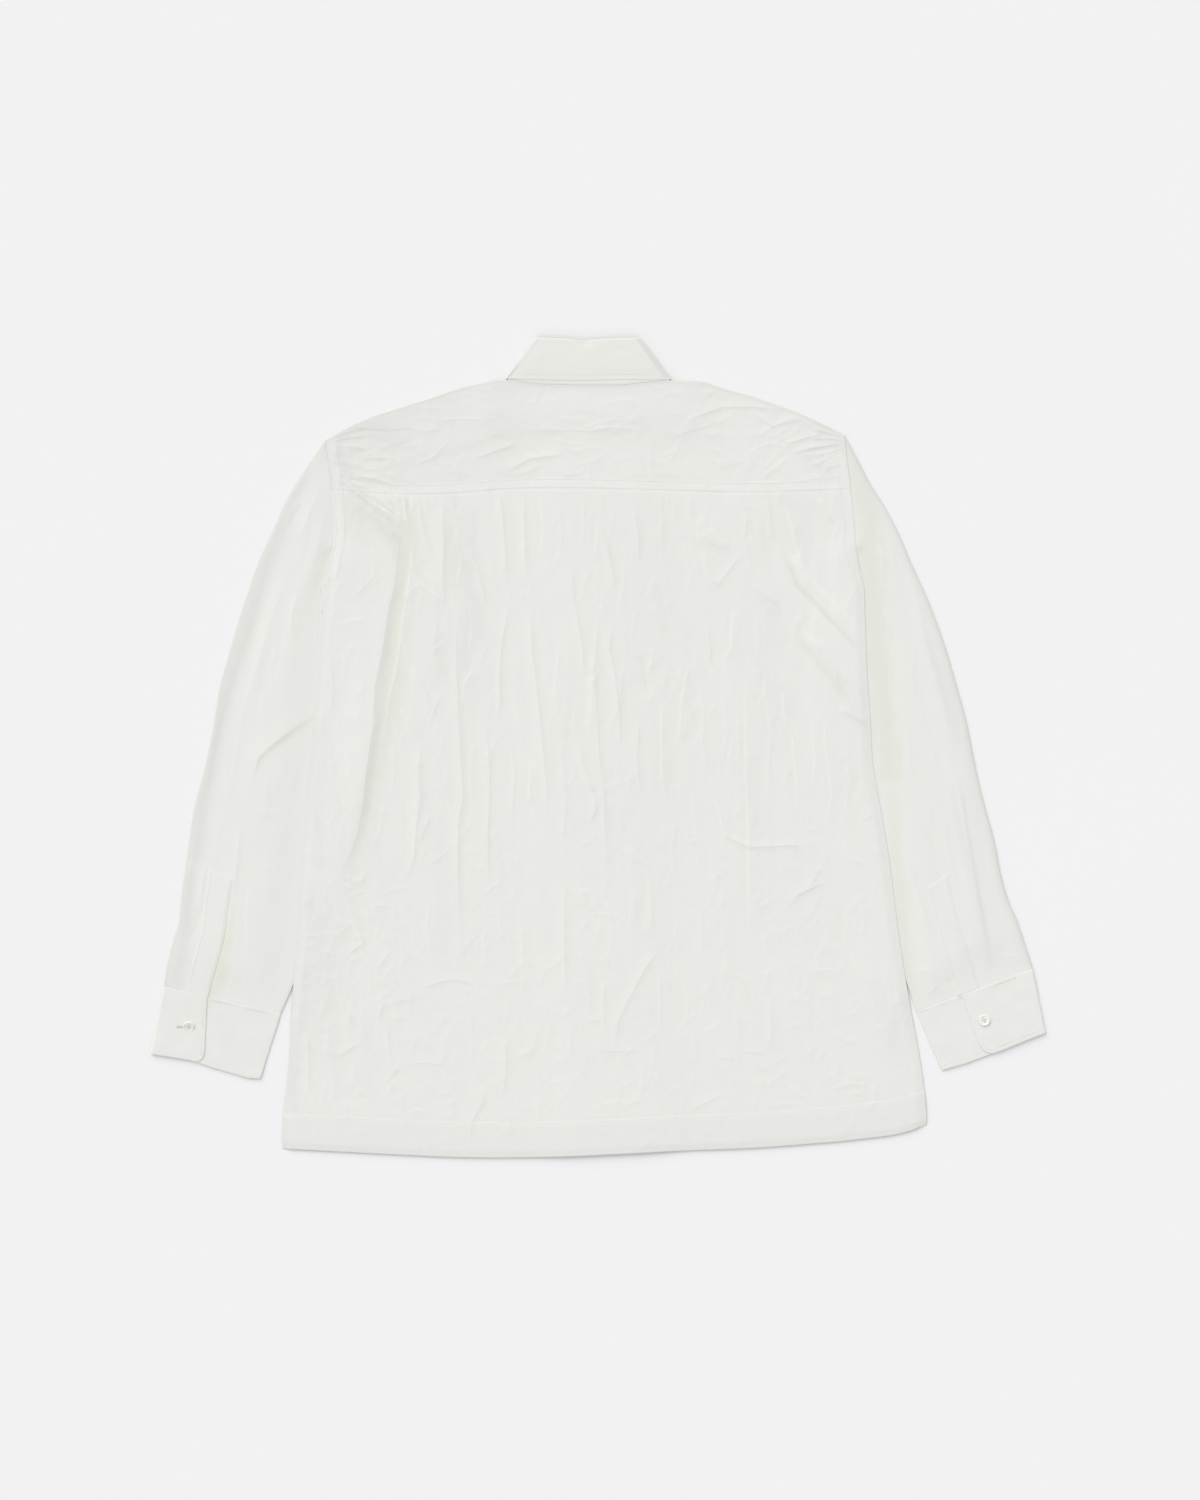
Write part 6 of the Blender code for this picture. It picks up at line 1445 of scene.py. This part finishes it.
def drill(piece, x, y):
    bpy.ops.object.select_all(action="DESELECT")
    bpy.ops.mesh.primitive_cylinder_add(vertices=14, radius=HOLE_WIDE / 2 * MM, depth=6 * MM,
                                        location=(x * MM, y * MM, 1 * MM))
    bit = bpy.context.object
    cut = piece.modifiers.new("hole", "BOOLEAN")
    cut.object, cut.operation, cut.solver = bit, "DIFFERENCE", "EXACT"
    bpy.context.view_layer.objects.active = piece
    bpy.ops.object.modifier_apply(modifier="hole")
    bpy.data.objects.remove(bit, do_unlink=True)


half = BUTTON_WIDE / 2
PROFILE = ((0, 0), (half - 0.9, 0), (half - 0.35, 0.18), (half - 0.05, 0.6), (half, 1.0),
           (half - 0.12, 1.5), (half - 0.45, 1.86), (half - 0.85, BUTTON_DEEP), (half - 1.25, 1.9),
           (half - 1.65, 1.62), (half - 2.2, 1.46), (0, 1.4))
shell_button = turned("button_pattern", PROFILE, 48)
for hx, hy in ((1, 1), (1, -1), (-1, 1), (-1, -1)):
    drill(shell_button, hx * HOLE_OUT * 0.75, hy * HOLE_OUT * 0.75)
shell_button.data.shade_smooth()
shell_button.data.set_sharp_from_angle(angle=math.radians(38))
print("button faces:", len(shell_button.data.polygons))

# %% [markdown]
# ## Stitches
# A lock stitch shows as a row of short raised dashes with small dips between them. One dash is an
# eight-sided grain with pointed ends. `sew` sets it along a line on the cloth, each copy turned to
# the line and laid on the surface, and makes one mesh of the whole row. Hundreds of single
# objects would be slow and hard to move together.

# %% A row of stitches
STITCH, STITCH_GAP, THREAD = 2.3, 0.55, 0.34


def grain_mesh(length, wide, high):
    """Points and faces of one stitch, lying along x with its middle at the origin."""
    rings = ((-0.5, 0.25, -0.1), (-0.33, 0.9, 0.75), (0.0, 1.0, 1.0), (0.33, 0.9, 0.75), (0.5, 0.25, -0.1))
    points, faces = [], []
    for at, girth, lift in rings:
        for corner in range(6):
            a = math.radians(60 * corner)
            points.append((at * length, math.cos(a) * wide / 2 * girth,
                           (math.sin(a) * 0.5 * girth + 0.5 * lift - 0.35) * high))
    for ring in range(len(rings) - 1):
        for corner in range(6):
            a, b = ring * 6 + corner, ring * 6 + (corner + 1) % 6
            faces.append((a, b, b + 6, a + 6))
    faces.append(tuple(range(5, -1, -1)))
    faces.append(tuple(range(24, 30)))
    return np.array(points), faces


def join_grains(name, places, length, wide=THREAD, high=THREAD):
    """One mesh of a stitch at each place (x, y, z, heading, tilt, face up or down)."""
    points, faces = grain_mesh(length, wide, high)
    all_points, all_faces = [], []
    for count, (x, y, z, heading, tilt, up) in enumerate(places):
        turn = (Matrix.Rotation(heading, 3, "Z") @ Matrix.Rotation(-tilt, 3, "Y")
                @ Matrix.Rotation(0 if up else math.pi, 3, "X"))
        all_points.append(points @ np.array(turn).T + (x, y, z))
        all_faces += [tuple(c + count * len(points) for c in f) for f in faces]
    mesh = bpy.data.meshes.new(name)
    mesh.from_pydata((np.concatenate(all_points) * MM).tolist(), [], all_faces)
    piece = bpy.data.objects.new(name, mesh)
    bpy.context.scene.collection.objects.link(piece)
    mesh.shade_smooth()
    return piece


def sew(name, lines, up=True, raise_by=0.1):
    """Rows of stitches along lines of surface points (x, y, z)."""
    places = []
    for line in lines:
        line = np.array(line, float)
        run = np.concatenate([[0], np.cumsum(np.linalg.norm(np.diff(line[:, :2], axis=0), axis=1))])
        count = int(run[-1] / (STITCH + STITCH_GAP))
        at = (np.arange(count) + 0.5) * run[-1] / count
        ends = [np.stack([np.interp(at + s * STITCH / 2, run, line[:, c]) for c in range(3)], 1)
                for s in (-1, 1)]
        for a, b in zip(*ends):
            dx, dy, dz = b - a
            middle = (a + b) / 2
            places.append((middle[0], middle[1], middle[2] + (raise_by if up else -raise_by),
                           math.atan2(dy, dx), math.atan2(dz, math.hypot(dx, dy)), up))
    piece = join_grains(name, places, STITCH)
    print(f"{name}: {len(places)} stitches")
    return piece


# %% Stitches of the body
def on_body(x, y):
    return np.stack([x, y, body_z(x, y)], 1)


q = np.linspace(0.012, 0.988, 420)
y_yoke = smooth(YOKE_SEAM, q)
x_yoke = mix(back_side(y_yoke, LEFT), back_side(y_yoke, RIGHT), q)
y_hem = smooth(HEM, q) + HEM_BAND
x_hem = mix(back_side(y_hem, LEFT), back_side(y_hem, RIGHT), q)
seams = {"stitches_yoke": [on_body(x_yoke, y_yoke + 1.7), on_body(x_yoke, y_yoke + YOKE_BAND - 0.6)],
         "stitches_hem": [on_body(x_hem, y_hem - 1.2)]}
y_arm = np.linspace(166, 306, 130)
seams["stitches_armhole_left"] = [on_body(smooth(ARMHOLE, y_arm, LEFT) + d, y_arm)
        for d in (1.8, ARM_BAND - 0.7)]
seams["stitches_armhole_right"] = [on_body(smooth(ARMHOLE, y_arm, RIGHT) - d, y_arm)
        for d in (1.8, ARM_BAND - 0.7)]
stitches = {name: sew(name, lines, raise_by=0.06) for name, lines in seams.items()}

# %% Stitches of the cuffs, plackets and collar
def cuff_lines(seam, edge, closure):
    """Round the top layer of the buttoned end, and along the part beside it."""
    def at(q, h, level):
        q, h = np.broadcast_arrays(np.asarray(q, float), np.asarray(h, float))
        return np.stack([mix(read(seam, q), read(edge, q), h), mix(read(seam, q, 2), read(edge, q, 2), h),
                         level + cuff_lift(h * CUFF_DEPTH) + 0 * q], 1)
    top, under = CUFF_OVER + CUFF_WALL / 2, CUFF_UNDER + CUFF_WALL / 2
    lines = [at(np.linspace(closure.over_end + 0.05, 0.97, 60), h, top) for h in (0.035, 0.93)]
    lines += [at(closure.over_end + 0.03, np.linspace(0.06, 0.88, 50), top)]
    lines += [at(np.linspace(0.03, closure.over_end - 0.02, 60), h, under) for h in (0.035, 0.93)]
    return lines


def placket_lines(sleeve):
    span = sleeve.closure.placket_out - sleeve.closure.placket_in
    lines = []
    for share in (0.1, 0.9):
        v = np.linspace(0.772, 0.985, 80)
        x, y, z = sleeve.upper(sleeve.closure.placket_in + span * share + 0 * v, v)
        lines.append(np.stack([x, y, z + 0.32], 1))
    return lines


for suffix, sleeve in (("left", sleeve_left), ("right", sleeve_right)):
    stitches["stitches_cuff_" + suffix] = sew(
        "stitches_cuff_" + suffix, cuff_lines(sleeve.cuff_seam, sleeve.cuff_edge,
                sleeve.closure), raise_by=0.02)
    stitches["stitches_placket_" + suffix] = sew("stitches_placket_" + suffix, placket_lines(sleeve),
            raise_by=0.06)

_, fall_columns = along_table(FALL[11:18], 120)
x_roll, y_roll, _, z_leaf, x_edge, y_edge, z_edge = fall_columns
x_line, y_line = mix(x_roll, x_edge, 0.86), mix(y_roll, y_edge, 0.86)
collar_line = np.stack([x_line, y_line, fall_height(x_line, y_line, 0.853, z_leaf, z_edge, 1.0) + 0.17], 1)
stitches["stitches_collar"] = sew("stitches_collar", [collar_line[4:-4]], raise_by=0.02)

# %% [markdown]
# ## Setting the buttons and their holes
# Each copy of the button gets its own mesh, turned and moved to its place in code, so that the
# object itself stays at the origin. Its thread is a small cross through the four holes. A
# buttonhole is worked round with short dense stitches across its edge and a bar at each end. No
# slit is cut: the left cuff's button is tilted and passes through the cloth.

# %% Buttons and buttonholes
FACE_UP_Z = 2.75        # the back of a button that lies on a cuff
BUTTON_PLACES = {"cuff_left": (-409, -279, FACE_UP_Z, True, 0.35),
                 "cuff_right": (386, -273, FACE_UP_Z, True, -0.5)}
for number in range(7):
    y_button = 232 - 88 * number
    BUTTON_PLACES[f"front_{number + 1}"] = (float(centre_x(y_button)), y_button, 0, False, 0.1 * number)
BUTTON_PLACES["collar"] = (float(centre_x(297)), 297, 0, False, 0.2)
buttons, threads = {}, {}
for key, (bx, by, bz, up, turn) in BUTTON_PLACES.items():
    piece = bpy.data.objects.new("button_" + key + "_shell", shell_button.data.copy())
    bpy.context.scene.collection.objects.link(piece)
    tilt = math.radians(24) if key == "cuff_left" else 0          # as if half through a hole
    flip = Matrix.Rotation(tilt if up else math.pi, 4, "X")
    place = (Matrix.Translation(Vector((bx, by, bz + (0 if up else BUTTON_DEEP))) * MM) @ flip
             @ Matrix.Rotation(turn, 4, "Z"))
    buttons[key] = piece
    threads[key] = join_grains("thread_" + key, [(0, 0, 1.5 + 0.1 * n, a, 0, True)
                                                for n, a in enumerate((math.pi / 4, -math.pi / 4))],
                               HOLE_OUT * 2.3, 0.7, 0.6)
    for part in (piece, threads[key]):
        part.data.transform(place)
bpy.data.objects.remove(shell_button, do_unlink=True)


def buttonhole(name, x, y, z, long, heading, up):
    """Short stitches across both edges of a slit, and a bar at each end."""
    ux, uy = math.cos(heading), math.sin(heading)
    places = []
    for step in np.arange(-long / 2, long / 2 + 0.01, 0.62):
        for side in (-1, 1):
            places.append((x + ux * step - uy * side * 0.55, y + uy * step + ux * side * 0.55, z,
                           heading + math.pi / 2, 0, up))
    for end in (-1, 1):
        for shift in (-0.3, 0.3):
            s = end * (long / 2 + 0.5) + shift
            places.append((x + ux * s, y + uy * s, z + (0.1 if up else -0.1), heading + math.pi / 2, 0, up))
    return join_grains(name, places, 1.35, 0.5, 0.34)


holes = {"buttonhole_cuff_left": buttonhole("buttonhole_cuff_left", -412, -279.6, 2.72, 17, 0.0, True)}
for key, (bx, by, bz, up, turn) in BUTTON_PLACES.items():
    if not up and key != "collar":
        holes["buttonhole_" + key] = buttonhole("buttonhole_" + key, bx, by - 1, 2.32, 15, math.pi / 2, False)
print("buttons:", len(buttons), "buttonholes:", len(holes))

# %% [markdown]
# ## Writing shader maths as sums
# A node tree is slow to read as a list of links. `Value` wraps one socket, so that a sum such as
# `1 - mask * 0.2` adds the Math nodes itself. `Tree.node` makes any other node from its type, its
# settings and the values or links of its sockets.

# %% A small language for shaders
class Value:
    def __init__(self, tree, socket):
        self.tree, self.socket = tree, socket

    def maths(self, operation, other=None, flip=False):
        values = [self] if other is None else ([other, self] if flip else [self, other])
        return self.tree.node("ShaderNodeMath", {"operation": operation}, dict(enumerate(values)))

    def __add__(self, other): return self.maths("ADD", other)
    def __radd__(self, other): return self.maths("ADD", other, True)
    def __sub__(self, other): return self.maths("SUBTRACT", other)
    def __rsub__(self, other): return self.maths("SUBTRACT", other, True)
    def __mul__(self, other): return self.maths("MULTIPLY", other)
    def __rmul__(self, other): return self.maths("MULTIPLY", other, True)
    def power(self, other): return self.maths("POWER", other)
    def sine(self): return self.maths("SINE")
    def least(self, other): return self.maths("MINIMUM", other)
    def most(self, other): return self.maths("MAXIMUM", other)


class Tree:
    def __init__(self, name):
        self.material = bpy.data.materials.new(name)
        self.material.use_nodes = True
        self.nodes, self.links = self.material.node_tree.nodes, self.material.node_tree.links
        self.shader = self.nodes["Principled BSDF"]

    def node(self, kind, settings=None, inputs=None, output=0):
        made = self.nodes.new(kind)
        for key, value in (settings or {}).items():
            setattr(made, key, value)
        for key, value in (inputs or {}).items():
            self.feed(made.inputs[key], value)
        return Value(self, made.outputs[output])

    def feed(self, socket, value):
        if isinstance(value, Value):
            self.links.new(value.socket, socket)
        else:
            socket.default_value = value

    def blend(self, share, a, b):
        """A colour between two colours."""
        return self.node("ShaderNodeMix", {"data_type": "RGBA"}, {0: share, 6: a, 7: b}, output=2)

    def noise(self, where, scale, detail=2.0, roughness=0.5):
        return self.node("ShaderNodeTexNoise", {}, {"Vector": where, "Scale": scale, "Detail": detail,
                                                    "Roughness": roughness})

    def stretch(self, where, x, y, z=1.0):
        return self.node("ShaderNodeVectorMath", {"operation": "MULTIPLY"}, {0: where, 1: (x, y, z)})

    def finish(self, **sockets):
        for key, value in sockets.items():
            self.feed(self.shader.inputs[key.replace("_", " ")], value)
        return self.material


print("half of one third:", (1 / 3) / 2)

# %% [markdown]
# ## The cotton
# White cotton is not one white. Where it lies double it is paler, because no darker layer shows
# through it. Deep in the folds, light that has gone through the cloth comes out a little yellow;
# that yellow is painted shade here, laid into the colour, and so are the strokes' greyer shade,
# their painted highlights, and their painted glow and cool light. Here and there it looks faintly
# cool. Close to, the plain weave shows: threads of a quarter of a millimetre going over and under,
# some of them thicker slubs. The weave follows the piece's map, and the finest wrinkles, too small
# for the grid, are bump.

# %% Cotton cloth
def cotton(name, wrinkle, base=(0.806, 0.814, 0.778, 1)):
    t = Tree(name)
    chart = t.node("ShaderNodeUVMap", {"uv_map": "UVMap"})
    place = t.node("ShaderNodeTexCoord", output=3)
    marks = t.node("ShaderNodeAttribute", {"attribute_name": "painted_shade_and_band"})
    painted_shade_and_band = t.node("ShaderNodeSeparateColor", {}, {0: marks})
    fold_shade, band, painted_warmth = (Value(t, painted_shade_and_band.socket.node.outputs[n]) for n in range(3))
    painted_grey = Value(t, marks.socket.node.outputs["Alpha"])
    split = t.node("ShaderNodeSeparateXYZ", {}, {0: chart})
    u, v = split, Value(t, split.socket.node.outputs[1])
    turns = 2 * math.pi / 0.00056
    warp, weft = (u * turns).sine(), (v * turns).sine()
    weave = warp * weft
    slub = t.noise(t.stretch(chart, 900, 60), 1.0).power(3) + t.noise(t.stretch(chart, 60, 900), 1.0).power(3)
    cloud = t.noise(place, 7.0, 3.0)
    patch = t.noise(place, 26.0, 2.0)
    tint = t.blend(((cloud - 0.45) * 2.2).most(0.0).least(1.0), base, (0.792, 0.803, 0.782, 1))
    # painted light and shade: the hollows turn darker and yellow, the strokes' glow turns the colour yellow
    # or cooler, and their greying shade darkens it or, where negative, lightens it as a painted highlight
    tint = t.blend((fold_shade * 0.6).least(1.0), tint, (0.765, 0.762, 0.682, 1))
    tint = t.blend((painted_warmth * 0.85).most(0.0).least(1.4), tint, (0.788, 0.792, 0.700, 1))
    tint = t.blend((painted_warmth * -0.9).most(0.0).least(1.0), tint, (0.795, 0.796, 0.790, 1))
    tint = t.blend((painted_grey * 0.5).most(0.0).least(1.0), tint, (0.715, 0.722, 0.692, 1))
    tint = t.blend((painted_grey * -0.5).most(0.0).least(1.0), tint, (0.84, 0.848, 0.815, 1))
    tint = t.blend(band * 0.55, tint, (0.83, 0.836, 0.805, 1))
    tint = t.blend(((patch - 0.5) * 0.5).most(0.0), tint, (0.77, 0.775, 0.742, 1))
    tint = t.blend((slub * 0.12 + weave * 0.02 + 0.02).most(0.0), tint, (0.74, 0.745, 0.71, 1))
    fine = t.noise(t.stretch(chart, 1.0, 0.32), 260.0, 3.0, 0.6)
    small = t.noise(t.stretch(chart, 1.0, 0.45), 95.0, 3.0, 0.55)
    bent = t.node("ShaderNodeVectorMath", {"operation": "ADD"}, {0: chart, 1: t.node(
        "ShaderNodeVectorMath", {"operation": "SCALE"}, {0: t.node(
            "ShaderNodeTexNoise", {}, {"Vector": chart, "Scale": 40.0,
                    "Detail": 1.0}, output=1), "Scale": 0.012})})
    facet = t.node("ShaderNodeTexVoronoi", {"feature": "F1", "voronoi_dimensions": "2D"},
                   {"Vector": t.stretch(bent, 1.0, 0.36), "Scale": 95.0})
    facet_small = t.node("ShaderNodeTexVoronoi", {"feature": "F1", "voronoi_dimensions": "2D"},
                         {"Vector": t.stretch(bent, 1.0, 0.5), "Scale": 210.0})
    patchy = ((t.noise(chart, 11.0, 2.0) - 0.3) * 2.2).most(0.15).least(1.0)
    mark = t.node("ShaderNodeSeparateColor", {},
            {0: t.node("ShaderNodeAttribute", {"attribute_name": "crease"})})
    aside, power = mark, Value(t, mark.socket.node.outputs[1])
    crest = (1 - (aside * 0.75).most(aside * -0.42)).most(0.0)
    folds = facet * 0.42 * patchy + facet_small * 0.2 * patchy + (small + fine * 0.4) * 0.3
    creased = t.node("ShaderNodeBump", {}, {"Strength": wrinkle, "Distance": 0.0006,
                                            "Height": folds + crest * crest * power * 0.36})
    normal = t.node("ShaderNodeBump", {},
            {"Strength": 0.35, "Distance": 0.00006, "Height": weave * 0.5 + slub,
                                           "Normal": creased})
    rough = 0.82 + (cloud - 0.5) * 0.1 + fold_shade * 0.06
    t.shader.inputs["Specular IOR Level"].default_value = 0.25
    t.shader.inputs["Sheen Weight"].default_value = 0.12
    t.shader.inputs["Sheen Roughness"].default_value = 0.5
    return t.finish(Base_Color=tint, Roughness=rough, Normal=normal)


COTTON = cotton("crinkled_cotton", 1.0)
SMOOTH_COTTON = cotton("pressed_cotton", 0.5)
STIFF_COTTON = cotton("interlined_cotton", 0.3)
print("cotton nodes:", len(COTTON.node_tree.nodes))

# %% [markdown]
# ## Thread and shell
# Sewing thread is two strands twisted together, a little glossier than the cloth. The buttons are
# cut from shell: a cream ground with a pink and green play of colour in wavy layers, and a
# polished surface, which is a clear coat here.

# %% Thread and shell
def thread():
    t = Tree("sewing_thread")
    place = t.node("ShaderNodeTexCoord", output=3)
    twist = t.node("ShaderNodeTexWave", {"wave_type": "BANDS", "bands_direction": "DIAGONAL"},
                   {"Vector": place, "Scale": 900.0, "Distortion": 1.5}, output=1)
    tint = t.blend(twist * 0.5, (0.80, 0.805, 0.775, 1), (0.73, 0.73, 0.69, 1))
    bump = t.node("ShaderNodeBump", {}, {"Strength": 0.4, "Distance": 0.00008, "Height": twist})
    t.shader.inputs["Specular IOR Level"].default_value = 0.35
    return t.finish(Base_Color=tint, Roughness=0.6 + twist * 0.1, Normal=bump)


def shell():
    t = Tree("button_shell")
    place = t.node("ShaderNodeTexCoord", output=3)
    bent = t.node("ShaderNodeVectorMath", {"operation": "ADD"},
                  {0: place, 1: t.node("ShaderNodeTexNoise", {}, {"Vector": place, "Scale": 220.0},
                   output=1)})
    layers = t.node("ShaderNodeTexWave", {"wave_type": "BANDS"},
                    {"Vector": t.stretch(bent, 1.0, 1.0), "Scale": 60.0, "Distortion": 6.0,
                     "Detail": 2.0}, output=1)
    pink = t.noise(place, 330.0, 2.0)
    green = t.noise(t.stretch(place, 1.0, 1.7), 260.0, 2.0)
    tint = t.blend(layers * 0.35, (0.93, 0.92, 0.89, 1), (0.84, 0.82, 0.77, 1))
    tint = t.blend(((pink - 0.52) * 4).most(0.0).least(0.5), tint, (0.90, 0.74, 0.60, 1))
    tint = t.blend(((green - 0.54) * 3).most(0.0).least(0.3), tint, (0.76, 0.84, 0.82, 1))
    bump = t.node("ShaderNodeBump", {}, {"Strength": 0.1, "Distance": 0.0002, "Height": layers})
    t.shader.inputs["Coat Weight"].default_value = 0.7
    t.shader.inputs["Coat Roughness"].default_value = 0.08
    return t.finish(Base_Color=tint, Roughness=0.24 + layers * 0.12, Normal=bump)


THREAD_FINISH, SHELL_FINISH = thread(), shell()
print("finishes:", THREAD_FINISH.name, SHELL_FINISH.name)

# %% [markdown]
# ## Dressing the solids
# Every piece gets its finish, rides on the shirt's one body and stands for its solid. The
# sleeves' width and length are off: they measure 0.26 by 0.575.

# %% Finishes and bodies
FINISH = {"back": COTTON, "yoke": COTTON, "front_left": COTTON, "front_right": COTTON,
          "sleeve_left": SMOOTH_COTTON, "sleeve_right": SMOOTH_COTTON, "placket_left": STIFF_COTTON,
          "placket_right": STIFF_COTTON, "cuff_left": STIFF_COTTON, "cuff_right": STIFF_COTTON,
          "stand": STIFF_COTTON, "fall": STIFF_COTTON}
NODES = {"back": "back_panel", "placket_left": "sleeve_placket_left", "placket_right": "sleeve_placket_right",
         "stand": "collar_stand", "fall": "collar_fall"}
for key, piece in pieces.items():
    piece.data.materials.clear()
    piece.data.materials.append(FINISH[key])
    wearing(piece, NODES.get(key, key))
for store in (stitches, threads, holes):
    for piece in store.values():
        piece.data.materials.append(THREAD_FINISH)
        wearing(piece)
for key, piece in buttons.items():
    piece.data.materials.clear()
    piece.data.materials.append(SHELL_FINISH)
    wearing(piece, "button_" + key, slot="button")

# %% [markdown]
# ## The table, the light and the camera
# A plain pale table, a wide soft light from the upper left, and plenty of light from all round, as
# in a white studio. The camera looks straight down from three and a half metres, so that the
# shirt is seen with almost no perspective.

# %% Table and light
bpy.ops.object.select_all(action="DESELECT")
bpy.ops.mesh.primitive_grid_add(x_subdivisions=4, y_subdivisions=4, size=24)
table = bpy.context.object
table.name = "table"
t = Tree("pale_table")
spot = t.node("ShaderNodeTexCoord", output=3)
paper = t.noise(spot, 3.0, 2.0)
table.data.materials.append(t.finish(
    Base_Color=t.blend(paper, (0.872, 0.872, 0.872, 1), (0.878, 0.878, 0.878, 1)), Roughness=0.9))
t.shader.inputs["Specular IOR Level"].default_value = 0.1

scene = bpy.context.scene
scene.view_settings.view_transform = "Standard"
world = bpy.data.worlds.new("studio")
scene.world = world
world.use_nodes = True
world.node_tree.nodes["Background"].inputs["Color"].default_value = (1.0, 1.0, 1.0, 1)
world.node_tree.nodes["Background"].inputs["Strength"].default_value = 0.729
sun = bpy.data.lights.new("window", "SUN")
sun.energy = 1.6
sun.angle = math.radians(50)
window = bpy.data.objects.new("window", sun)
scene.collection.objects.link(window)
window.rotation_euler = Vector((0.47, -0.75, -0.60)).to_track_quat("-Z", "Y").to_euler()

# %% Camera
lens = bpy.data.cameras.new("camera")
lens.lens, lens.sensor_width = 85, 36
camera = bpy.data.objects.new("camera", lens)
scene.collection.objects.link(camera)
camera.location = (0.002, -0.003, 1.5 * 85 / 36)
lens.clip_end = 50
scene.camera = camera
print("camera height in m:", round(camera.location.z, 3))
